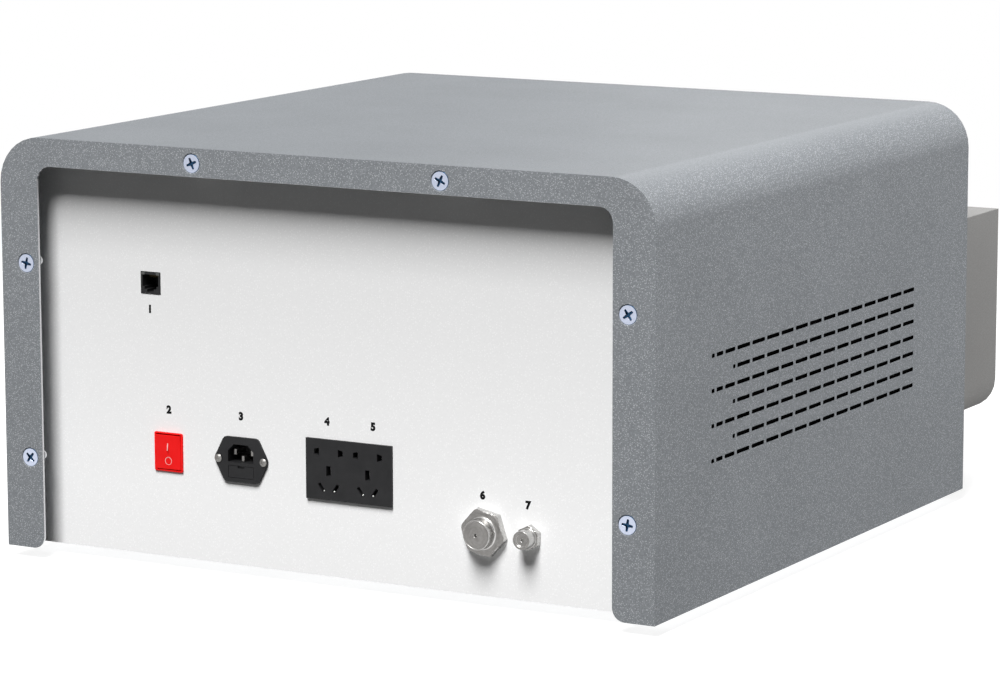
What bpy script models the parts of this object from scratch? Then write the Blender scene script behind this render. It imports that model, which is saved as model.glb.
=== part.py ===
"""Benchtop optical emission spectrometer, in metres. +Z is up, the connector panel (the rear) faces
+Y, the spark stand (the front) faces -Y, and the origin is on the bench under the middle of the cover."""

import math

import bmesh
import bpy
from mathutils import Matrix, Vector

MM = 0.001
GAP = 0.3 * MM  # between pieces that touch
CUT = 1.0 * MM  # how far a cutter runs past a face
LAP = 1.0 * MM  # how far a joined shape reaches into its neighbour
RUNNING = 0.05 * MM  # between a pin and its bore

# Cover: one bent and welded sheet, with a flange all round each end
COVER_W, COVER_D, COVER_H = 560 * MM, 553 * MM, 317.5 * MM
SHEET = 2 * MM
CORNER_R = 35.5 * MM
FEET_H = 9 * MM
FLANGE_SIDE, FLANGE_TOP = 34 * MM, 21.5 * MM
FLANGE_CORNER_R, FLANGE_FOOT_R = 11 * MM, 10 * MM
SIDE_X, REAR_Y, FRONT_Y = COVER_W / 2, COVER_D / 2, -COVER_D / 2
Z0 = FEET_H  # the cover's bottom edge

# Vents, in both sides of the cover: where each slot starts, from the rear edge, and its length
VENT_ROWS, VENT_TOP, VENT_PITCH_Z, VENT_H = 7, 180.3 * MM, 12.85 * MM, 3.0 * MM
VENT_FULL, VENT_START, VENT_PITCH_Y, VENT_L = 13, 129.8 * MM, 24.72 * MM, 20.9 * MM
VENT_LONG_ROW = ((88.1 * MM, 4.6 * MM), (96.0 * MM, 10.4 * MM), (110.0 * MM, 15.9 * MM))
VENT_SHORT_ROW = ((122.7 * MM, 3.9 * MM),)

# Countersunk screws that hold the cover to each end panel: x and height above the cover's bottom
SIDE_SCREW_IN, SIDE_SCREW_DROP, SIDE_SCREW_LOW = 22.1 * MM, 96.6 * MM, 70.6 * MM
TOP_SCREW_X, TOP_SCREW_DROP = 106.2 * MM, 11.6 * MM
SCREW_AT = (
    (SIDE_X - SIDE_SCREW_IN, COVER_H - SIDE_SCREW_DROP),
    (SIDE_X - SIDE_SCREW_IN, SIDE_SCREW_LOW),
    (TOP_SCREW_X, COVER_H - TOP_SCREW_DROP),
    (-TOP_SCREW_X, COVER_H - TOP_SCREW_DROP),
    (SIDE_SCREW_IN - SIDE_X, COVER_H - SIDE_SCREW_DROP),
    (SIDE_SCREW_IN - SIDE_X, SIDE_SCREW_LOW),
)
SCREW_HEAD_R, SCREW_SHANK_R, SCREW_L, SCREW_SUNK = 7.4 * MM, 2.8 * MM, 12 * MM, 0.2 * MM
SINK_R, SINK_HOLE_R, SINK_PAST = 7.9 * MM, 3.3 * MM, 0.2 * MM
STANDOFF_R = 8.0 * MM
CHANNEL_T, CHANNEL_FOOT, CHANNEL_LIP, CHANNEL_PAST = 2 * MM, 13 * MM, 28 * MM, 25 * MM
CLINCH_R, CLINCH_T = 5 * MM, 4 * MM
NUB_REACH, NUB_R, NUB_RISE, NUB_BACK = 0.9 * MM, 3.6 * MM, 2.5 * MM, 0.2 * MM

# End panels, base tray and feet
PANEL_T, PANEL_SIDE_GAP = 2 * MM, 0.5 * MM
PANEL_X = SIDE_X - SHEET - PANEL_SIDE_GAP
PANEL_R = CORNER_R - SHEET - PANEL_SIDE_GAP
PANEL_H = COVER_H - SHEET - PANEL_SIDE_GAP
RECESS = 25 * MM
REAR_PANEL_Y = REAR_Y - RECESS  # outer face
FRONT_PANEL_Y = FRONT_Y + SHEET + GAP  # outer face
TRAY_T, TRAY_WALL, TRAY_H = 3 * MM, 2 * MM, 18 * MM
FLOOR = Z0 + TRAY_T + GAP  # what stands in the tray
FOOT_R, FOOT_EDGE, FOOT_IN_X, FOOT_IN_Y = 14 * MM, 2 * MM, 65 * MM, 80.5 * MM

# Network socket: centre x, height above the cover's bottom, and its room's steps as half width, rise
LAN_AT, LAN_W, LAN_H, LAN_L = (160.9 * MM, 209.5 * MM), 17.4 * MM, 16.6 * MM, 21 * MM
LAN_PROUD, LAN_BACK, LAN_TOP, LAN_LOW = 0.4 * MM, 5 * MM, 6.4 * MM, 7 * MM
LAN_STEPS = ((7.1 * MM, 4.2 * MM), (5.4 * MM, 2.1 * MM), (2.9 * MM, 0))

# Rocker switch
SWITCH_AT, SWITCH_W, SWITCH_H, SWITCH_L = (146.2 * MM, 81.2 * MM), 25.4 * MM, 30 * MM, 24 * MM
SWITCH_BODY = (11.9 * MM, 14.2 * MM)  # half width, half height
SWITCH_WALL, SWITCH_RIM, SWITCH_RIM_R, SWITCH_ROOM = 0.6 * MM, 1.1 * MM, 1.2 * MM, 14 * MM
ROCKER_PIVOT, ROCKER_SHORT, ROCKER_SLOPE, ROCKER_STEM = 3 * MM, 1.1 * MM, 0.5 * MM, 4 * MM
ROCKER_DEEP, ROCKER_LOW, ROCKER_MIDDLE, ROCKER_HIGH = 1.0 * MM, 1.4 * MM, 1.3 * MM, 2.9 * MM

# Power inlet: its recess and fuse drawer as places across and above the cover's bottom
INLET_AT, INLET_W, INLET_H = (80.5 * MM, 81.3 * MM), 48 * MM, 34.6 * MM
INLET_FLAT, INLET_R, INLET_PROUD = 14.9 * MM, 2.5 * MM, 2.2 * MM
INLET_BODY, INLET_BLOCK_L, INLET_SCREW_X, INLET_SCREW_R = (14 * MM, 15.2 * MM), 24 * MM, 20 * MM, 1.7 * MM
INLET_FACE = REAR_PANEL_Y + INLET_PROUD
RECESS_X, RECESS_Z, RECESS_SLANT, RECESS_L = (69.5 * MM, 92 * MM), (79.2 * MM, 92.9 * MM), 5 * MM, 17 * MM
PIN_AT = ((88.2 * MM, 86.3 * MM), (73.2 * MM, 86.3 * MM), (80.7 * MM, 81.8 * MM))
PIN_W, PIN_H, PIN_TAIL, PIN_FREE = 2 * MM, 4 * MM, 7 * MM, 0.1 * MM
PIN_SHORT = (4.5 * MM, 4.5 * MM, 3.5 * MM)  # behind the inlet's face
FUSE_X, FUSE_Z, FUSE_L, FUSE_SUNK = 11 * MM, (67.6 * MM, 76.4 * MM), 21 * MM, 0.1 * MM
FUSE_WALL, FUSE_FLOOR, FUSE_FRONT = 1 * MM, 1.5 * MM, 3 * MM
FUSE_NOTCH, FUSE_NOTCH_H, FUSE_NOTCH_L = 3 * MM, 1.6 * MM, 1.1 * MM

# Twin five-hole outlet
OUTLET_AT, OUTLET_W, OUTLET_H = (-14 * MM, 81.2 * MM), 74 * MM, 45.8 * MM
OUTLET_BODY, OUTLET_L, OUTLET_PROUD = (34 * MM, 20 * MM), 22 * MM, 2.3 * MM
SOCKET_PITCH, SOCKET_SHIFT, SOCKET_L = 33.7 * MM, 0.45 * MM, 16 * MM
UPPER_HOLE_Z, UPPER_HOLE_X, UPPER_HOLE_H = 94.4 * MM, (8.2 * MM, 12.4 * MM), (2.9 * MM, 1.9 * MM)
SLANT_Z, SLANT_X, SLANT_W, SLANT_H = 67.6 * MM, 6.2 * MM, 1.3 * MM, 3.7 * MM
SLANT_TURN = math.radians(35.5)
EARTH_W, EARTH_Z = 2 * MM, (76.5 * MM, 84.1 * MM)

# Gas fittings: bulkhead unions, with hexagon and boss outside the panel and a hose end inside it
ARGON_IN_X, FITTING_Z, FITTING_PITCH = 113.5 * MM, 48 * MM, 37.3 * MM
ARGON_AT = (ARGON_IN_X - SIDE_X, FITTING_Z)
WASTE_AT = (ARGON_AT[0] + FITTING_PITCH, FITTING_Z)
HEX_Y, BOSS_Y, SHOULDER, HOSE_END = 4 * MM, 14.5 * MM, 12 * MM, 22 * MM
FITTING_END = REAR_PANEL_Y - HOSE_END
NUT_T = 5 * MM
WASTE_STEM_R, WASTE_HOSE_R, WASTE_BORE_R = 9.7 * MM, 7.4 * MM, 2 * MM
WASTE_HEX_R, WASTE_NUT_R = 18.8 * MM, 14.5 * MM
WASTE_BOSS_R, WASTE_CONE_R, WASTE_TIP_R, WASTE_TIP = 11 * MM, 10 * MM, 2.9 * MM, 5.2 * MM
WASTE_TURN, ARGON_TURN = math.radians(11.7), math.radians(-27)
ARGON_STEM_R, ARGON_HOSE_R, ARGON_BORE_R = 5.6 * MM, 3.4 * MM, 1.3 * MM
ARGON_HEX_R, ARGON_NUT_R = 10 * MM, 10 * MM
ARGON_BOSS_R, ARGON_CUP_R, ARGON_CUP = 6.1 * MM, 4.7 * MM, 2.5 * MM

# Spark stand, in front of the cover, about the axis of the spark
SPARK_IN, SPARK_OUT = 156 * MM, 75.5 * MM  # from the cover's vented side, from its front
SPARK_X, SPARK_Y = SPARK_IN - SIDE_X, FRONT_Y - SPARK_OUT
LIGHT_RISE = 196 * MM  # of the light's way into the optics, above the cover's bottom
LIGHT_Z = Z0 + LIGHT_RISE
STAND_W, STAND_DEPTH, STAND_H, STAND_WALL, STAND_R = 240 * MM, 153 * MM, 172.9 * MM, 3 * MM, 26.5 * MM
STAND_OVER_LIGHT = 15.6 * MM
STAND_X = (SPARK_X - STAND_W / 2, SPARK_X + STAND_W / 2)
STAND_TOP = LIGHT_Z + STAND_OVER_LIGHT
STAND_Z = (STAND_TOP - STAND_H, STAND_TOP)
STAND_FRONT = FRONT_Y - STAND_DEPTH
TABLE_X, TABLE_Y, TABLE_T, TABLE_R = 160 * MM, 112 * MM, 5 * MM, 6 * MM
TABLE_TOP = STAND_TOP + GAP + TABLE_T
SPARK_HOLE_R, SPARK_HOLE_LIP, SPARK_HOLE_FLARE = 7 * MM, 1.5 * MM, 3.5 * MM
CHAMBER_X, CHAMBER_Y, CHAMBER_H, CHAMBER_FLOOR = 84 * MM, 72 * MM, 69.6 * MM, 22 * MM
CHAMBER_LOW = STAND_TOP - CHAMBER_H
ELECTRODE_R, ELECTRODE_SEAT_R, ELECTRODE_TIP, ELECTRODE_BORE = 2.3 * MM, 12 * MM, 3.5 * MM, 12 * MM
BASE_R, BASE_FLANGE, BASE_NECK, BASE_H, BASE_TOP_R = 17 * MM, 13.7 * MM, 34 * MM, 40 * MM, 8 * MM
BASE_LOW = CHAMBER_LOW - GAP - BASE_FLANGE
CHAMBER_ROOM_R, EXHAUST_R, FEED_R = 21 * MM, 4 * MM, 2 * MM
EXHAUST_RISE, FEED_RISE, FEED_BACK = 33 * MM, 48 * MM, 18 * MM
EXHAUST_Z, FEED_Z, FEED_Y = CHAMBER_LOW + EXHAUST_RISE, CHAMBER_LOW + FEED_RISE, SPARK_Y + FEED_BACK
LIGHT_R, LIGHT_TUBE_R, LIGHT_STOP, LIGHT_STOP_H, LIGHT_ENTRY_R = 8 * MM, 12 * MM, 34 * MM, 2 * MM, 5 * MM
LENS_T, LENS_EDGE = 6 * MM, 1.5 * MM
TABLE_HOLE_CLEAR, TABLE_HOLE_R = 3 * MM, 5 * MM

# Door of the stand, on a pin through two lugs
DOOR_LEFT, DOOR_RIGHT, DOOR_T, DOOR_LAP = 74 * MM, 70 * MM, 4 * MM, 8 * MM
DOOR_LOW, DOOR_DROP, DOORWAY_R, HINGE_OUT = 19.3 * MM, 35.6 * MM, 5 * MM, 6 * MM
DOOR_X = (SPARK_X - DOOR_LEFT, SPARK_X + DOOR_RIGHT)
DOOR_Z = (STAND_Z[0] + DOOR_LOW, STAND_Z[1] - DOOR_DROP)
HINGE_R, HINGE_PIN_R, LUG_T, LUG_HALF = 4 * MM, 2 * MM, 7 * MM, 5 * MM
PIN_REACH, PIN_HOLE_REACH = 4.5 * MM, 5 * MM
HINGE_X, HINGE_Y = DOOR_X[1] + HINGE_OUT, STAND_FRONT - HINGE_R - 2 * GAP
PULL_IN, PULL_OUT, PULL_HALF, PULL_BEND, PULL_EASE, PULL_R = 14 * MM, 18 * MM, 26 * MM, 6 * MM, 5 * MM, 3 * MM

# Ports in the front panel, as x and height above the cover's bottom
WASTE_PORT_OUT, ARGON_PORT_OUT, CABLE_PORT_OUT = 72 * MM, 54 * MM, 24 * MM
GAS_PORT_Z, CABLE_PORT_Z, PORT_CLEAR, CABLE_R = 62 * MM, 92 * MM, 1.6 * MM, 4 * MM
WASTE_PORT, ARGON_PORT = (SPARK_X + WASTE_PORT_OUT, GAS_PORT_Z), (SPARK_X + ARGON_PORT_OUT, GAS_PORT_Z)
CABLE_PORT = (SPARK_X + CABLE_PORT_OUT, CABLE_PORT_Z)

# Sample clamp on the stand
POST_OUT, POST_BACK, POST_R, POST_SPIGOT_R, POST_SPIGOT = 66 * MM, 34 * MM, 8 * MM, 5 * MM, 5 * MM
POST_X, POST_Y = SPARK_X + POST_OUT, SPARK_Y + POST_BACK
COLLAR_R, COLLAR_H, COLLAR_SLOPE, POST_CAP = 11 * MM, 6 * MM, 2 * MM, 4 * MM
ARM_RISE, ARM_T, ARM_W, ARM_BOSS, ARM_PIN_R = 45.1 * MM, 14 * MM, 11 * MM, 2 * MM, 5 * MM
ARM_Z = TABLE_TOP + ARM_RISE
ARM_TOP = ARM_Z + ARM_T + GAP
PLUNGER_R, PAD_R, PAD_H, PAD_EDGE = 4 * MM, 9 * MM, 8 * MM, 1 * MM
KNOB_R, KNOB_H, KNOB_EDGE = 12 * MM, 11 * MM, 2 * MM
PAD_RISE, SPRING_R, SPRING_WIRE = 23.1 * MM, 6.4 * MM, 0.8 * MM
SPRING_Z = (TABLE_TOP + PAD_RISE, ARM_Z - GAP)
SPRING_TURNS, SPRING_POINTS = 4, 10

# Optics: a grating on a Rowland circle through the slit and the detectors
BOX_SIDE, BOX_FRONT, BOX_BACK, BOX_BELOW, BOX_ABOVE = 138 * MM, 34.2 * MM, 75.5 * MM, 36 * MM, 54 * MM
BOX_WALL, LID_T, LEG = 8 * MM, 6 * MM, 20 * MM
BOX_Y = (FRONT_PANEL_Y + PANEL_T + BOX_FRONT, REAR_PANEL_Y - PANEL_T - BOX_BACK)
BOX_Z = (LIGHT_Z - BOX_BELOW, LIGHT_Z + BOX_ABOVE)
BOX_FLOOR = BOX_Z[0] + BOX_WALL + GAP  # what stands in it
SLIT_R, SLIT_T, SLIT_W, SLIT_H = 10 * MM, 3 * MM, 0.4 * MM, 8 * MM
SLIT_Y = BOX_Y[0] + BOX_WALL + GAP  # the slit disc's front
GRATING_BACK, GRATING_R, GRATING_T = 61.7 * MM, 20 * MM, 8 * MM
GRATING_HOLLOW, GRATING_RIM, GRATING_PAST = 1.2 * MM, 3 * MM, 0.2 * MM
MOUNT_T, MOUNT_HALF = 6 * MM, 24 * MM
SOLE_FRONT, SOLE_T, LIP_HALF, LIP_IN = 10 * MM, 5 * MM, 14 * MM, 1 * MM
GRATING_TURN = math.radians(20)  # the light's angle of incidence
GRATING = (SPARK_X, BOX_Y[1] - GRATING_BACK)
ROWLAND_R = (GRATING[1] - SLIT_Y - SLIT_T) / 2 / math.cos(GRATING_TURN)
ROWLAND = (SPARK_X + ROWLAND_R * math.sin(GRATING_TURN), GRATING[1] - ROWLAND_R * math.cos(GRATING_TURN))
BAR_FROM, BAR_TO, CHIPS = -58, -16, 6  # degrees round the circle from +X
BAR_CLEAR, BAR_T, BAR_RISE = 4 * MM, 12 * MM, 20 * MM
CHIP_SHARE, CHIP_H = 0.86, 5 * MM
BAR_X = ROWLAND[0] + (ROWLAND_R + BAR_CLEAR + BAR_T) * math.cos(math.radians(BAR_TO))
BOX_X = (SPARK_X - BOX_SIDE, BAR_X + BAR_CLEAR + BOX_WALL)

# Spark source: a case in the tray, with the cable's post on its front and vents behind
SOURCE_IN, SOURCE_W, SOURCE_L, SOURCE_H, SOURCE_BACK = 22 * MM, 138 * MM, 160 * MM, 112 * MM, 28 * MM
SOURCE_X = (WASTE_PORT[0] + SOURCE_IN, WASTE_PORT[0] + SOURCE_IN + SOURCE_W)
SOURCE_Y = (BOX_Y[0] + SOURCE_BACK, BOX_Y[0] + SOURCE_BACK + SOURCE_L)
SOURCE_POST_IN, SOURCE_POST_Z = 14 * MM, 92 * MM
SOURCE_POST = (SOURCE_X[0] + SOURCE_POST_IN, SOURCE_POST_Z)
SOURCE_POST_R, SOURCE_POST_L = 8 * MM, 10 * MM
SOURCE_VENTS, SOURCE_VENT_IN, SOURCE_VENT_W, SOURCE_VENT_PITCH = 5, 18 * MM, 12 * MM, 22 * MM
SOURCE_VENT_Z, SOURCE_VENT_L = (30 * MM, 80 * MM), 3 * MM

# Power supply: a case with a step behind for its terminals
SUPPLY_BESIDE, SUPPLY_W, SUPPLY_L, SUPPLY_H, SUPPLY_BACK = 8.5 * MM, 100 * MM, 130 * MM, 58 * MM, 60 * MM
SUPPLY_RIGHT = BOX_X[1] - LEG - SUPPLY_BESIDE  # beside the optics' leg
SUPPLY_X = (SUPPLY_RIGHT - SUPPLY_W, SUPPLY_RIGHT)
SUPPLY_Y = (REAR_PANEL_Y - SUPPLY_BACK - SUPPLY_L, REAR_PANEL_Y - SUPPLY_BACK)
STEP, STEP_CHEEK = 20 * MM, 8 * MM
TERMINALS_IN, TERMINALS_Y, TERMINALS_H = 15 * MM, (14 * MM, 2 * MM), 12 * MM

# Main board on four spacers: its parts as corner on the board, size and height
BOARD_OUT, BOARD_W, BOARD_L, BOARD_BACK = 38 * MM, 150 * MM, 240 * MM, 38 * MM
BOARD_RISE, BOARD_T = 9 * MM, 1.6 * MM
BOARD_X = (SPARK_X + BOARD_OUT - BOARD_W, SPARK_X + BOARD_OUT)
BOARD_Y = (BOX_Y[0] + BOARD_BACK, BOX_Y[0] + BOARD_BACK + BOARD_L)
SPACER_IN, SPACER_R = 6 * MM, 3.5 * MM
BOARD_PARTS = (
    ((26 * MM, 30 * MM), (60 * MM, 50 * MM), 12 * MM),
    ((46 * MM, 110 * MM), (22 * MM, 22 * MM), 4 * MM),
    ((88 * MM, 140 * MM), (30 * MM, 20 * MM), 6 * MM),
    ((14 * MM, 180 * MM), (45 * MM, 40 * MM), 15 * MM),
    ((92 * MM, 200 * MM), (44 * MM, 30 * MM), 10 * MM),
)

# Argon valve block, in line with the argon fitting
VALVE_LEFT, VALVE_W, VALVE_BACK, VALVE_L, VALVE_H = 69.5 * MM, 90 * MM, 61.5 * MM, 40 * MM, 60 * MM
VALVE_X = (ARGON_AT[0] - VALVE_LEFT, ARGON_AT[0] - VALVE_LEFT + VALVE_W)
VALVE_Y = (REAR_PANEL_Y - VALVE_BACK - VALVE_L, REAR_PANEL_Y - VALVE_BACK)
COIL_IN, COIL_R, COIL_H, STUB = 22 * MM, 13 * MM, 36 * MM, 5 * MM
OUTLET_IN, OUTLET_RISE = 12 * MM, 28 * MM
OUTLET_Y, OUTLET_Z = VALVE_Y[0] + OUTLET_IN, Z0 + OUTLET_RISE

# Fan, behind the vents of the +X side
FAN_IN, FAN_BACK, FAN_RISE = 34.2 * MM, 216.5 * MM, 142 * MM
FAN_AT = (SIDE_X - FAN_IN, REAR_Y - FAN_BACK, Z0 + FAN_RISE)
FAN_SIDE, FAN_T, FAN_R, FAN_BORE_R = 80 * MM, 25 * MM, 4 * MM, 37.5 * MM
FAN_HUB_R, FAN_HUB_T = 16 * MM, 4 * MM
STRUT_W, STRUT_T, STRUT_SUNK = 5 * MM, 2.8 * MM, 0.2 * MM
ROTOR_R, ROTOR_FRONT, ROTOR_BACK, BLADES, BLADE_TURN = 36 * MM, 2 * MM, 4.6 * MM, 7, math.radians(38)
BLADE_T, BLADE_W, BLADE_ROOT = 2.2 * MM, 19 * MM, 2 * MM
BRACKET_T, BRACKET_LAP, BRACKET_TOP, BRACKET_SOLE = 2 * MM, 6 * MM, 4 * MM, 28 * MM

# Ways of the hoses and the cable, each part of them as steps from a point that carries it
VALVE_TO_HOSE = ((0, 0, 0), (12 * MM, 0, 0))
ARGON_IN_TRAY = ((-16 * MM, -4 * MM, 0), (0, -26 * MM, 0), (0, -102 * MM, 0), (0, -222 * MM, 0))
ARGON_AT_PORT = ((0, 84.2 * MM, -32 * MM), (0, 42.2 * MM, -12 * MM), (0, 16.2 * MM, 0), (0, -13.8 * MM, 0))
ARGON_UP = (
    (15.7 * MM, 18 * MM, -98 * MM),
    (25.7 * MM, 2 * MM, -48 * MM),
    (19.7 * MM, 0, -8 * MM),
    (5 * MM, 0, 0),
    (0, 0, 0),
)
WASTE_DOWN = (
    (0, 0, 0),
    (8 * MM, 0, 0),
    (32 * MM, 0, -14 * MM),
    (40 * MM, 2 * MM, -44 * MM),
    (38 * MM, 14 * MM, -77 * MM),
)
WASTE_AT_PORT = (
    (2 * MM, -33.8 * MM, 5 * MM),
    (0, -9.8 * MM, 0),
    (0, 12.2 * MM, 0),
    (0, 46.2 * MM, -16 * MM),
    (0, 94.2 * MM, -31 * MM),
)
WASTE_IN_TRAY = ((0, -60 * MM, 0), (0, 60 * MM, 0))
WASTE_TO_FITTING = (
    (77.2 * MM, -89.2 * MM, -17 * MM),
    (69.2 * MM, -53.2 * MM, -11 * MM),
    (37.2 * MM, -31.2 * MM, -4 * MM),
    (18 * MM, -26.2 * MM, 0),
    (0, -13.2 * MM, 0),
    (0, 0, 0),
)
CABLE_FROM_POST = ((0, 0, 0), (0, -8 * MM, 0), (-30 * MM, -24 * MM, 0))
CABLE_AT_PORT = ((12 * MM, 16.2 * MM, 0), (0, 0.2 * MM, 0), (-2 * MM, -21.8 * MM, 0))
CABLE_TO_BASE = ((10 * MM, 22 * MM, -34 * MM), (0, 0, -12 * MM), (0, 0, 0))

# A flat outline's u, v and thickness lie along Y, Z, X for "X", along X, Z, -Y for "Y", and X, Y, Z for "Z"
QUARTER = math.pi / 2
TURNS = {"X": (QUARTER, 0, QUARTER), "Y": (QUARTER, 0, 0), "Z": (0, 0, 0)}
AXES = {"X": Vector((1, 0, 0)), "Y": Vector((0, 1, 0)), "Z": Vector((0, 0, 1))}


def clear_scene():
    for obj in list(bpy.data.objects):
        bpy.data.objects.remove(obj, do_unlink=True)


clear_scene()
PARTS = bpy.data.collections.new("optical_emission_spectrometer")
bpy.context.scene.collection.children.link(PARTS)

WHITE = dict(rgb=(0.85, 0.85, 0.86), roughness=0.5)
GREY = dict(rgb=(0.22, 0.24, 0.26), roughness=0.45)
STAND_GREY = dict(rgb=(0.27, 0.27, 0.265), roughness=0.4)
ZINC = dict(rgb=(0.55, 0.6, 0.7), metallic=1.0, roughness=0.3)
STEEL = dict(rgb=(0.6, 0.59, 0.58), metallic=1.0, roughness=0.3)
ALU = dict(rgb=(0.7, 0.7, 0.71), metallic=1.0, roughness=0.4)
BLACK = dict(rgb=(0.02, 0.02, 0.02), roughness=0.45)
RED = dict(rgb=(0.75, 0.02, 0.02), roughness=0.35)
GREEN = dict(rgb=(0.02, 0.4, 0.08), roughness=0.35)
BRASS = dict(rgb=(0.75, 0.55, 0.2), metallic=1.0, roughness=0.3)
BOARD = dict(rgb=(0.02, 0.22, 0.09), roughness=0.5)
GLASS = dict(rgb=(0.8, 0.85, 0.9), roughness=0.05)
RUBBER = dict(rgb=(0.03, 0.03, 0.03), roughness=0.8)
HOSE = dict(rgb=(0.8, 0.82, 0.85), roughness=0.3)
PALE = dict(rgb=(0.8, 0.78, 0.72), roughness=0.5)

# Buttons on the front panel: name, x, cap radius and colour
START_IN, STOP_IN = 150 * MM, 90 * MM
BUTTONS = (
    ("start_button", SIDE_X - START_IN, 11 * MM, GREEN),
    ("stop_button", SIDE_X - STOP_IN, 15 * MM, RED),
)
BUTTON_RISE, BUTTON_TRAVEL, BUTTON_CAP, BUTTON_HOLE_R = 180 * MM, 4 * MM, 14 * MM, 8 * MM
BUTTON_KEEP, BUTTON_KEEP_T, BUTTON_LIP, BUTTON_NECK = 2.5 * MM, 3 * MM, 1.5 * MM, 1 * MM
BUTTON_Z = Z0 + BUTTON_RISE


def paint(obj, rgb, metallic=0.0, roughness=0.5):
    """The object's own material, with round faces shaded smooth."""
    material = bpy.data.materials.new(obj.name)
    material.use_nodes = True
    shader = material.node_tree.nodes["Principled BSDF"]
    shader.inputs["Base Color"].default_value = (*rgb, 1.0)
    shader.inputs["Metallic"].default_value = metallic
    shader.inputs["Roughness"].default_value = roughness
    material.diffuse_color = (*rgb, 1.0)
    obj.data.materials.clear()
    obj.data.materials.append(material)
    obj.data.shade_smooth()
    obj.data.set_sharp_from_angle(angle=math.radians(35))
    return obj


def linked(name, data, location=(0, 0, 0), axis="Z"):
    obj = bpy.data.objects.new(name, data)
    PARTS.objects.link(obj)
    obj.location, obj.rotation_euler = location, TURNS[axis]
    bpy.context.view_layer.update()
    return obj


def evaluated_mesh(obj):
    graph = bpy.context.evaluated_depsgraph_get()
    return bpy.data.meshes.new_from_object(obj.evaluated_get(graph))


def as_mesh(obj):
    """The curve or modified mesh as a plain mesh, its caps and seams welded, facing out."""
    name, matrix, mesh = obj.name, obj.matrix_world.copy(), evaluated_mesh(obj)
    bpy.data.objects.remove(obj, do_unlink=True)
    sheet = bmesh.new()
    sheet.from_mesh(mesh)
    bmesh.ops.remove_doubles(sheet, verts=sheet.verts, dist=1e-6)
    bmesh.ops.dissolve_degenerate(sheet, dist=1e-7, edges=sheet.edges)
    bmesh.ops.recalc_face_normals(sheet, faces=sheet.faces)
    sheet.to_mesh(mesh)
    sheet.free()
    made = linked(name, mesh)
    made.matrix_world = matrix
    bpy.context.view_layer.update()
    return made


def box(name, x, y, z):
    sheet, mesh = bmesh.new(), bpy.data.meshes.new(name)
    bmesh.ops.create_cube(sheet, size=1.0)
    bmesh.ops.scale(sheet, vec=(x[1] - x[0], y[1] - y[0], z[1] - z[0]), verts=sheet.verts)
    sheet.to_mesh(mesh)
    sheet.free()
    return linked(name, mesh, ((x[0] + x[1]) / 2, (y[0] + y[1]) / 2, (z[0] + z[1]) / 2))


def cylinder(name, axis, centre, radius, low, high, steps=16):
    """A round bar along axis from low to high, its centre line through centre."""
    sheet, mesh = bmesh.new(), bpy.data.meshes.new(name)
    size = {"radius1": radius, "radius2": radius, "depth": high - low}
    bmesh.ops.create_cone(sheet, cap_ends=True, segments=steps, **size)
    sheet.to_mesh(mesh)
    sheet.free()
    return linked(name, mesh, Vector(centre) + AXES[axis] * (low + high) / 2, axis)


def prism(name, outline, axis, low, high):
    """A filled flat outline, given as (u, v), with its thickness from low to high along axis."""
    curve = bpy.data.curves.new(name, "CURVE")
    curve.dimensions, curve.fill_mode, curve.extrude = "2D", "BOTH", (high - low) / 2
    spline = curve.splines.new("POLY")
    spline.points.add(len(outline) - 1)
    for point, (u, v) in zip(spline.points, outline):
        point.co = (u, v, 0, 1)
    spline.use_cyclic_u = True
    return as_mesh(linked(name, curve, AXES[axis] * (low + high) / 2, axis))


def lathe(name, profile, axis, centre, steps=16):
    """A profile of (radius, height along axis) turned by a Screw. One off the axis is a closed ring."""
    flip = -1 if axis == "Y" else 1
    sheet, mesh = bmesh.new(), bpy.data.meshes.new(name)
    points = [sheet.verts.new((r, 0, flip * h)) for r, h in profile]
    for one, two in zip(points, points[1:]):
        sheet.edges.new((one, two))
    if profile[0][0] > 0:
        sheet.edges.new((points[-1], points[0]))
    sheet.to_mesh(mesh)
    sheet.free()
    obj = linked(name, mesh, centre, axis)
    turn = obj.modifiers.new("turn", "SCREW")
    turn.axis, turn.steps, turn.render_steps = "Z", steps, steps
    turn.use_merge_vertices, turn.merge_threshold = True, 1e-6
    return as_mesh(obj)


def tube(name, points, radius, resolution=2):
    """A round bar along the points."""
    curve = bpy.data.curves.new(name, "CURVE")
    curve.dimensions, curve.use_fill_caps = "3D", True
    curve.bevel_depth, curve.bevel_resolution = radius, resolution
    spline = curve.splines.new("POLY")
    spline.points.add(len(points) - 1)
    for point, place in zip(spline.points, points):
        point.co = (*place, 1)
    return as_mesh(linked(name, curve))


def ring_of(radius, count, centre=(0.0, 0.0), phase=0.0):
    turn = [phase + 2 * math.pi * k / count for k in range(count)]
    return [(centre[0] + radius * math.cos(t), centre[1] + radius * math.sin(t)) for t in turn]


def arc(centre, radius, start, end, steps):
    """Points of an arc, with start and end in degrees."""
    turn = [math.radians(start + (end - start) * k / steps) for k in range(steps + 1)]
    return [(centre[0] + radius * math.cos(t), centre[1] + radius * math.sin(t)) for t in turn]


def bore(radius, steps):
    """The radius of a hole whose flats clear a round bar of this radius, however the bar is turned."""
    return (radius + RUNNING) / math.cos(math.pi / steps)


def rounded(u, v, radius, steps=3):
    """A rectangle's outline with rounded corners."""
    (u0, u1), (v0, v1), r = u, v, radius
    return [
        *arc((u1 - r, v0 + r), r, -90, 0, steps),
        *arc((u1 - r, v1 - r), r, 0, 90, steps),
        *arc((u0 + r, v1 - r), r, 90, 180, steps),
        *arc((u0 + r, v0 + r), r, 180, 270, steps),
    ]


def around(x, z, half_w, half_h):
    """The x and z ranges of a rectangle about a point."""
    return (x - half_w, x + half_w), (z - half_h, z + half_h)


def remove(obj):
    mesh = obj.data
    bpy.data.objects.remove(obj, do_unlink=True)
    bpy.data.meshes.remove(mesh)


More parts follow.
